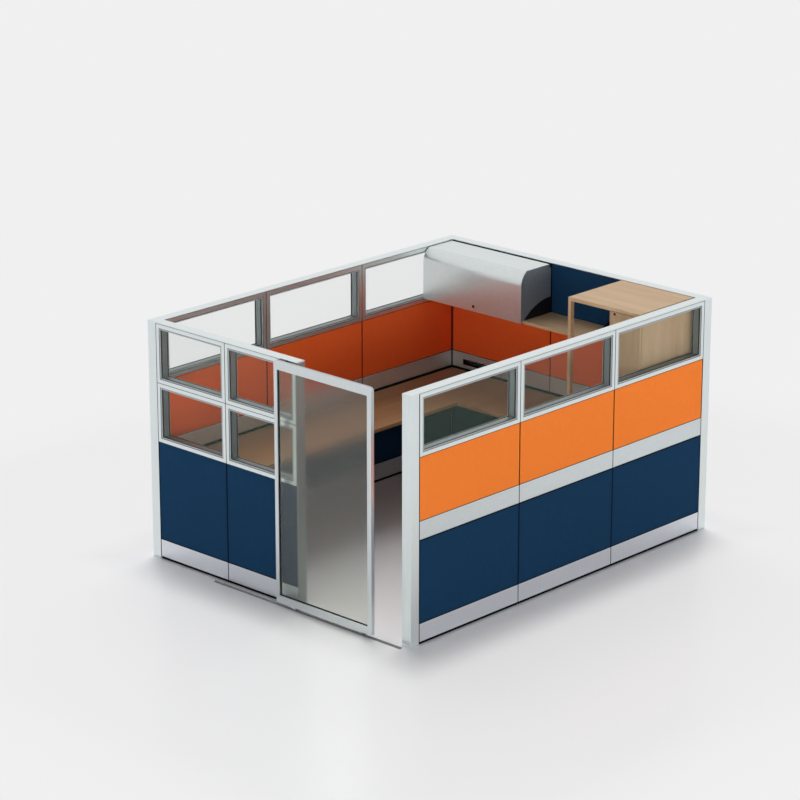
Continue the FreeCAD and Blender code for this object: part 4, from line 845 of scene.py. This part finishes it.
def floor_finish():
    """Polished pale floor. The camera sees it grow into the backdrop away from the object."""
    finish = Finish("pale_floor")
    x, y, _ = finish.along()
    dull = finish.cloud(0.8, 3.0)
    polished = finish.node("ShaderNodeBsdfPrincipled", None,
                           {"Base Color": paint(249, 249, 250),
                            "Roughness": uneven(dull, 0.25, 0.02), "Specular IOR Level": 0.5})
    plain = finish.node("ShaderNodeEmission", None, {"Color": BACKDROP, "Strength": 1.0})
    half_width, half_depth = FOOTPRINT
    outside = (x.math("ABSOLUTE") - half_width).math("MAXIMUM", y.math("ABSOLUTE") - half_depth)
    away = outside.between(*NEAR_FADE) * NEAR_SHARE
    away = away.math("MAXIMUM", outside.between(*FAR_FADE))
    camera_ray = finish.node("ShaderNodeLightPath").outputs["Is Camera Ray"]
    mixed = finish.node("ShaderNodeMixShader", None,
                        {"Fac": away * Wire(finish, camera_ray), "Shader": polished.outputs[0],
                         "Shader_001": plain.outputs[0]})
    return finish.shown(mixed.outputs[0])


floor_mesh = bpy.data.meshes.new("studio_floor")
corners = np.array(((-1, -1, 0), (1, -1, 0), (1, 1, 0), (-1, 1, 0))) * FLOOR_HALF
floor_mesh.from_pydata(corners.tolist(), [], [[0, 1, 2, 3]])
floor_mesh.materials.append(floor_finish())
floor = bpy.data.objects.new("studio_floor", floor_mesh)
bpy.context.scene.collection.objects.link(floor)


# Strengths of the world's even light and of its bright band
EVEN_LIGHT, BAND_LIGHT = 0.21, 4.6
# Heights between which the band ends, the way that it faces, and how it ends sideways
BAND_TOP, BAND_WAY, BAND_SIDE = (0.10, 0.24), (0.72, -0.70, 0.0), (-0.2, 0.3)


def studio_light(sky):
    """The world: an even light, and a low bright band on the side that the camera stands on.

    The camera, reflections and glass see the plain backdrop instead."""
    way = sky.node("ShaderNodeTexCoord").outputs["Generated"]
    height = Wire(sky, sky.node("ShaderNodeSeparateXYZ", None, {"Vector": way}).outputs[2])
    front = sky.node("ShaderNodeVectorMath", {"operation": "DOT_PRODUCT"},
                     {"Vector": way, "Vector_001": BAND_WAY})
    low = 1 - height.between(*BAND_TOP)
    band = low * Wire(sky, front.outputs["Value"]).between(*BAND_SIDE)
    lit = sky.node("ShaderNodeBackground", None,
                   {"Color": paint(252, 253, 255), "Strength": band * BAND_LIGHT + EVEN_LIGHT})
    seen = sky.node("ShaderNodeBackground", None, {"Color": BACKDROP, "Strength": 1.0})
    ray = sky.node("ShaderNodeLightPath").outputs
    direct = Wire(sky, ray["Is Camera Ray"]).math("MAXIMUM", Wire(sky, ray["Is Glossy Ray"]))
    direct = direct.math("MAXIMUM", Wire(sky, ray["Is Transmission Ray"]))
    choice = sky.node("ShaderNodeMixShader", None,
                      {"Fac": direct, "Shader": lit.outputs[0], "Shader_001": seen.outputs[0]})
    sky.node("ShaderNodeOutputWorld", None, {"Surface": choice.outputs[0]})


world = bpy.data.worlds.new("studio_world")
world.use_nodes = True
bpy.context.scene.world = world
studio_light(Nodes(world.node_tree))

SUN_STRENGTH, SUN_ANGLE, SUN_WAY = 2.4, 60, (0.55, -0.55, -0.72)
lamp = bpy.data.lights.new("soft_back_light", "SUN")
lamp.energy = SUN_STRENGTH
lamp.angle = math.radians(SUN_ANGLE)
back_light = bpy.data.objects.new("soft_back_light", lamp)
back_light.rotation_euler = Vector(SUN_WAY).to_track_quat("-Z", "Y").to_euler()
back_light.visible_glossy = False
bpy.context.scene.collection.objects.link(back_light)

# The camera that was fitted to the bay's seams and corners
FOCAL_LENGTH, SENSOR, SIGHT = 139.75, 36.0, 400.0
CAMERA_PLACE, CAMERA_TILT, CAMERA_TURN = (13.8183, -14.9518, 7.6655), 18.0060, 43.3234
lens = bpy.data.cameras.new("photo_camera")
lens.lens, lens.sensor_width = FOCAL_LENGTH, SENSOR
lens.clip_end = SIGHT
camera = bpy.data.objects.new("photo_camera", lens)
camera.location = CAMERA_PLACE
camera.rotation_euler = (math.radians(90 - CAMERA_TILT), 0.0, math.radians(CAMERA_TURN))
bpy.context.scene.collection.objects.link(camera)
bpy.context.scene.camera = camera

bpy.context.scene.view_settings.view_transform = "Standard"
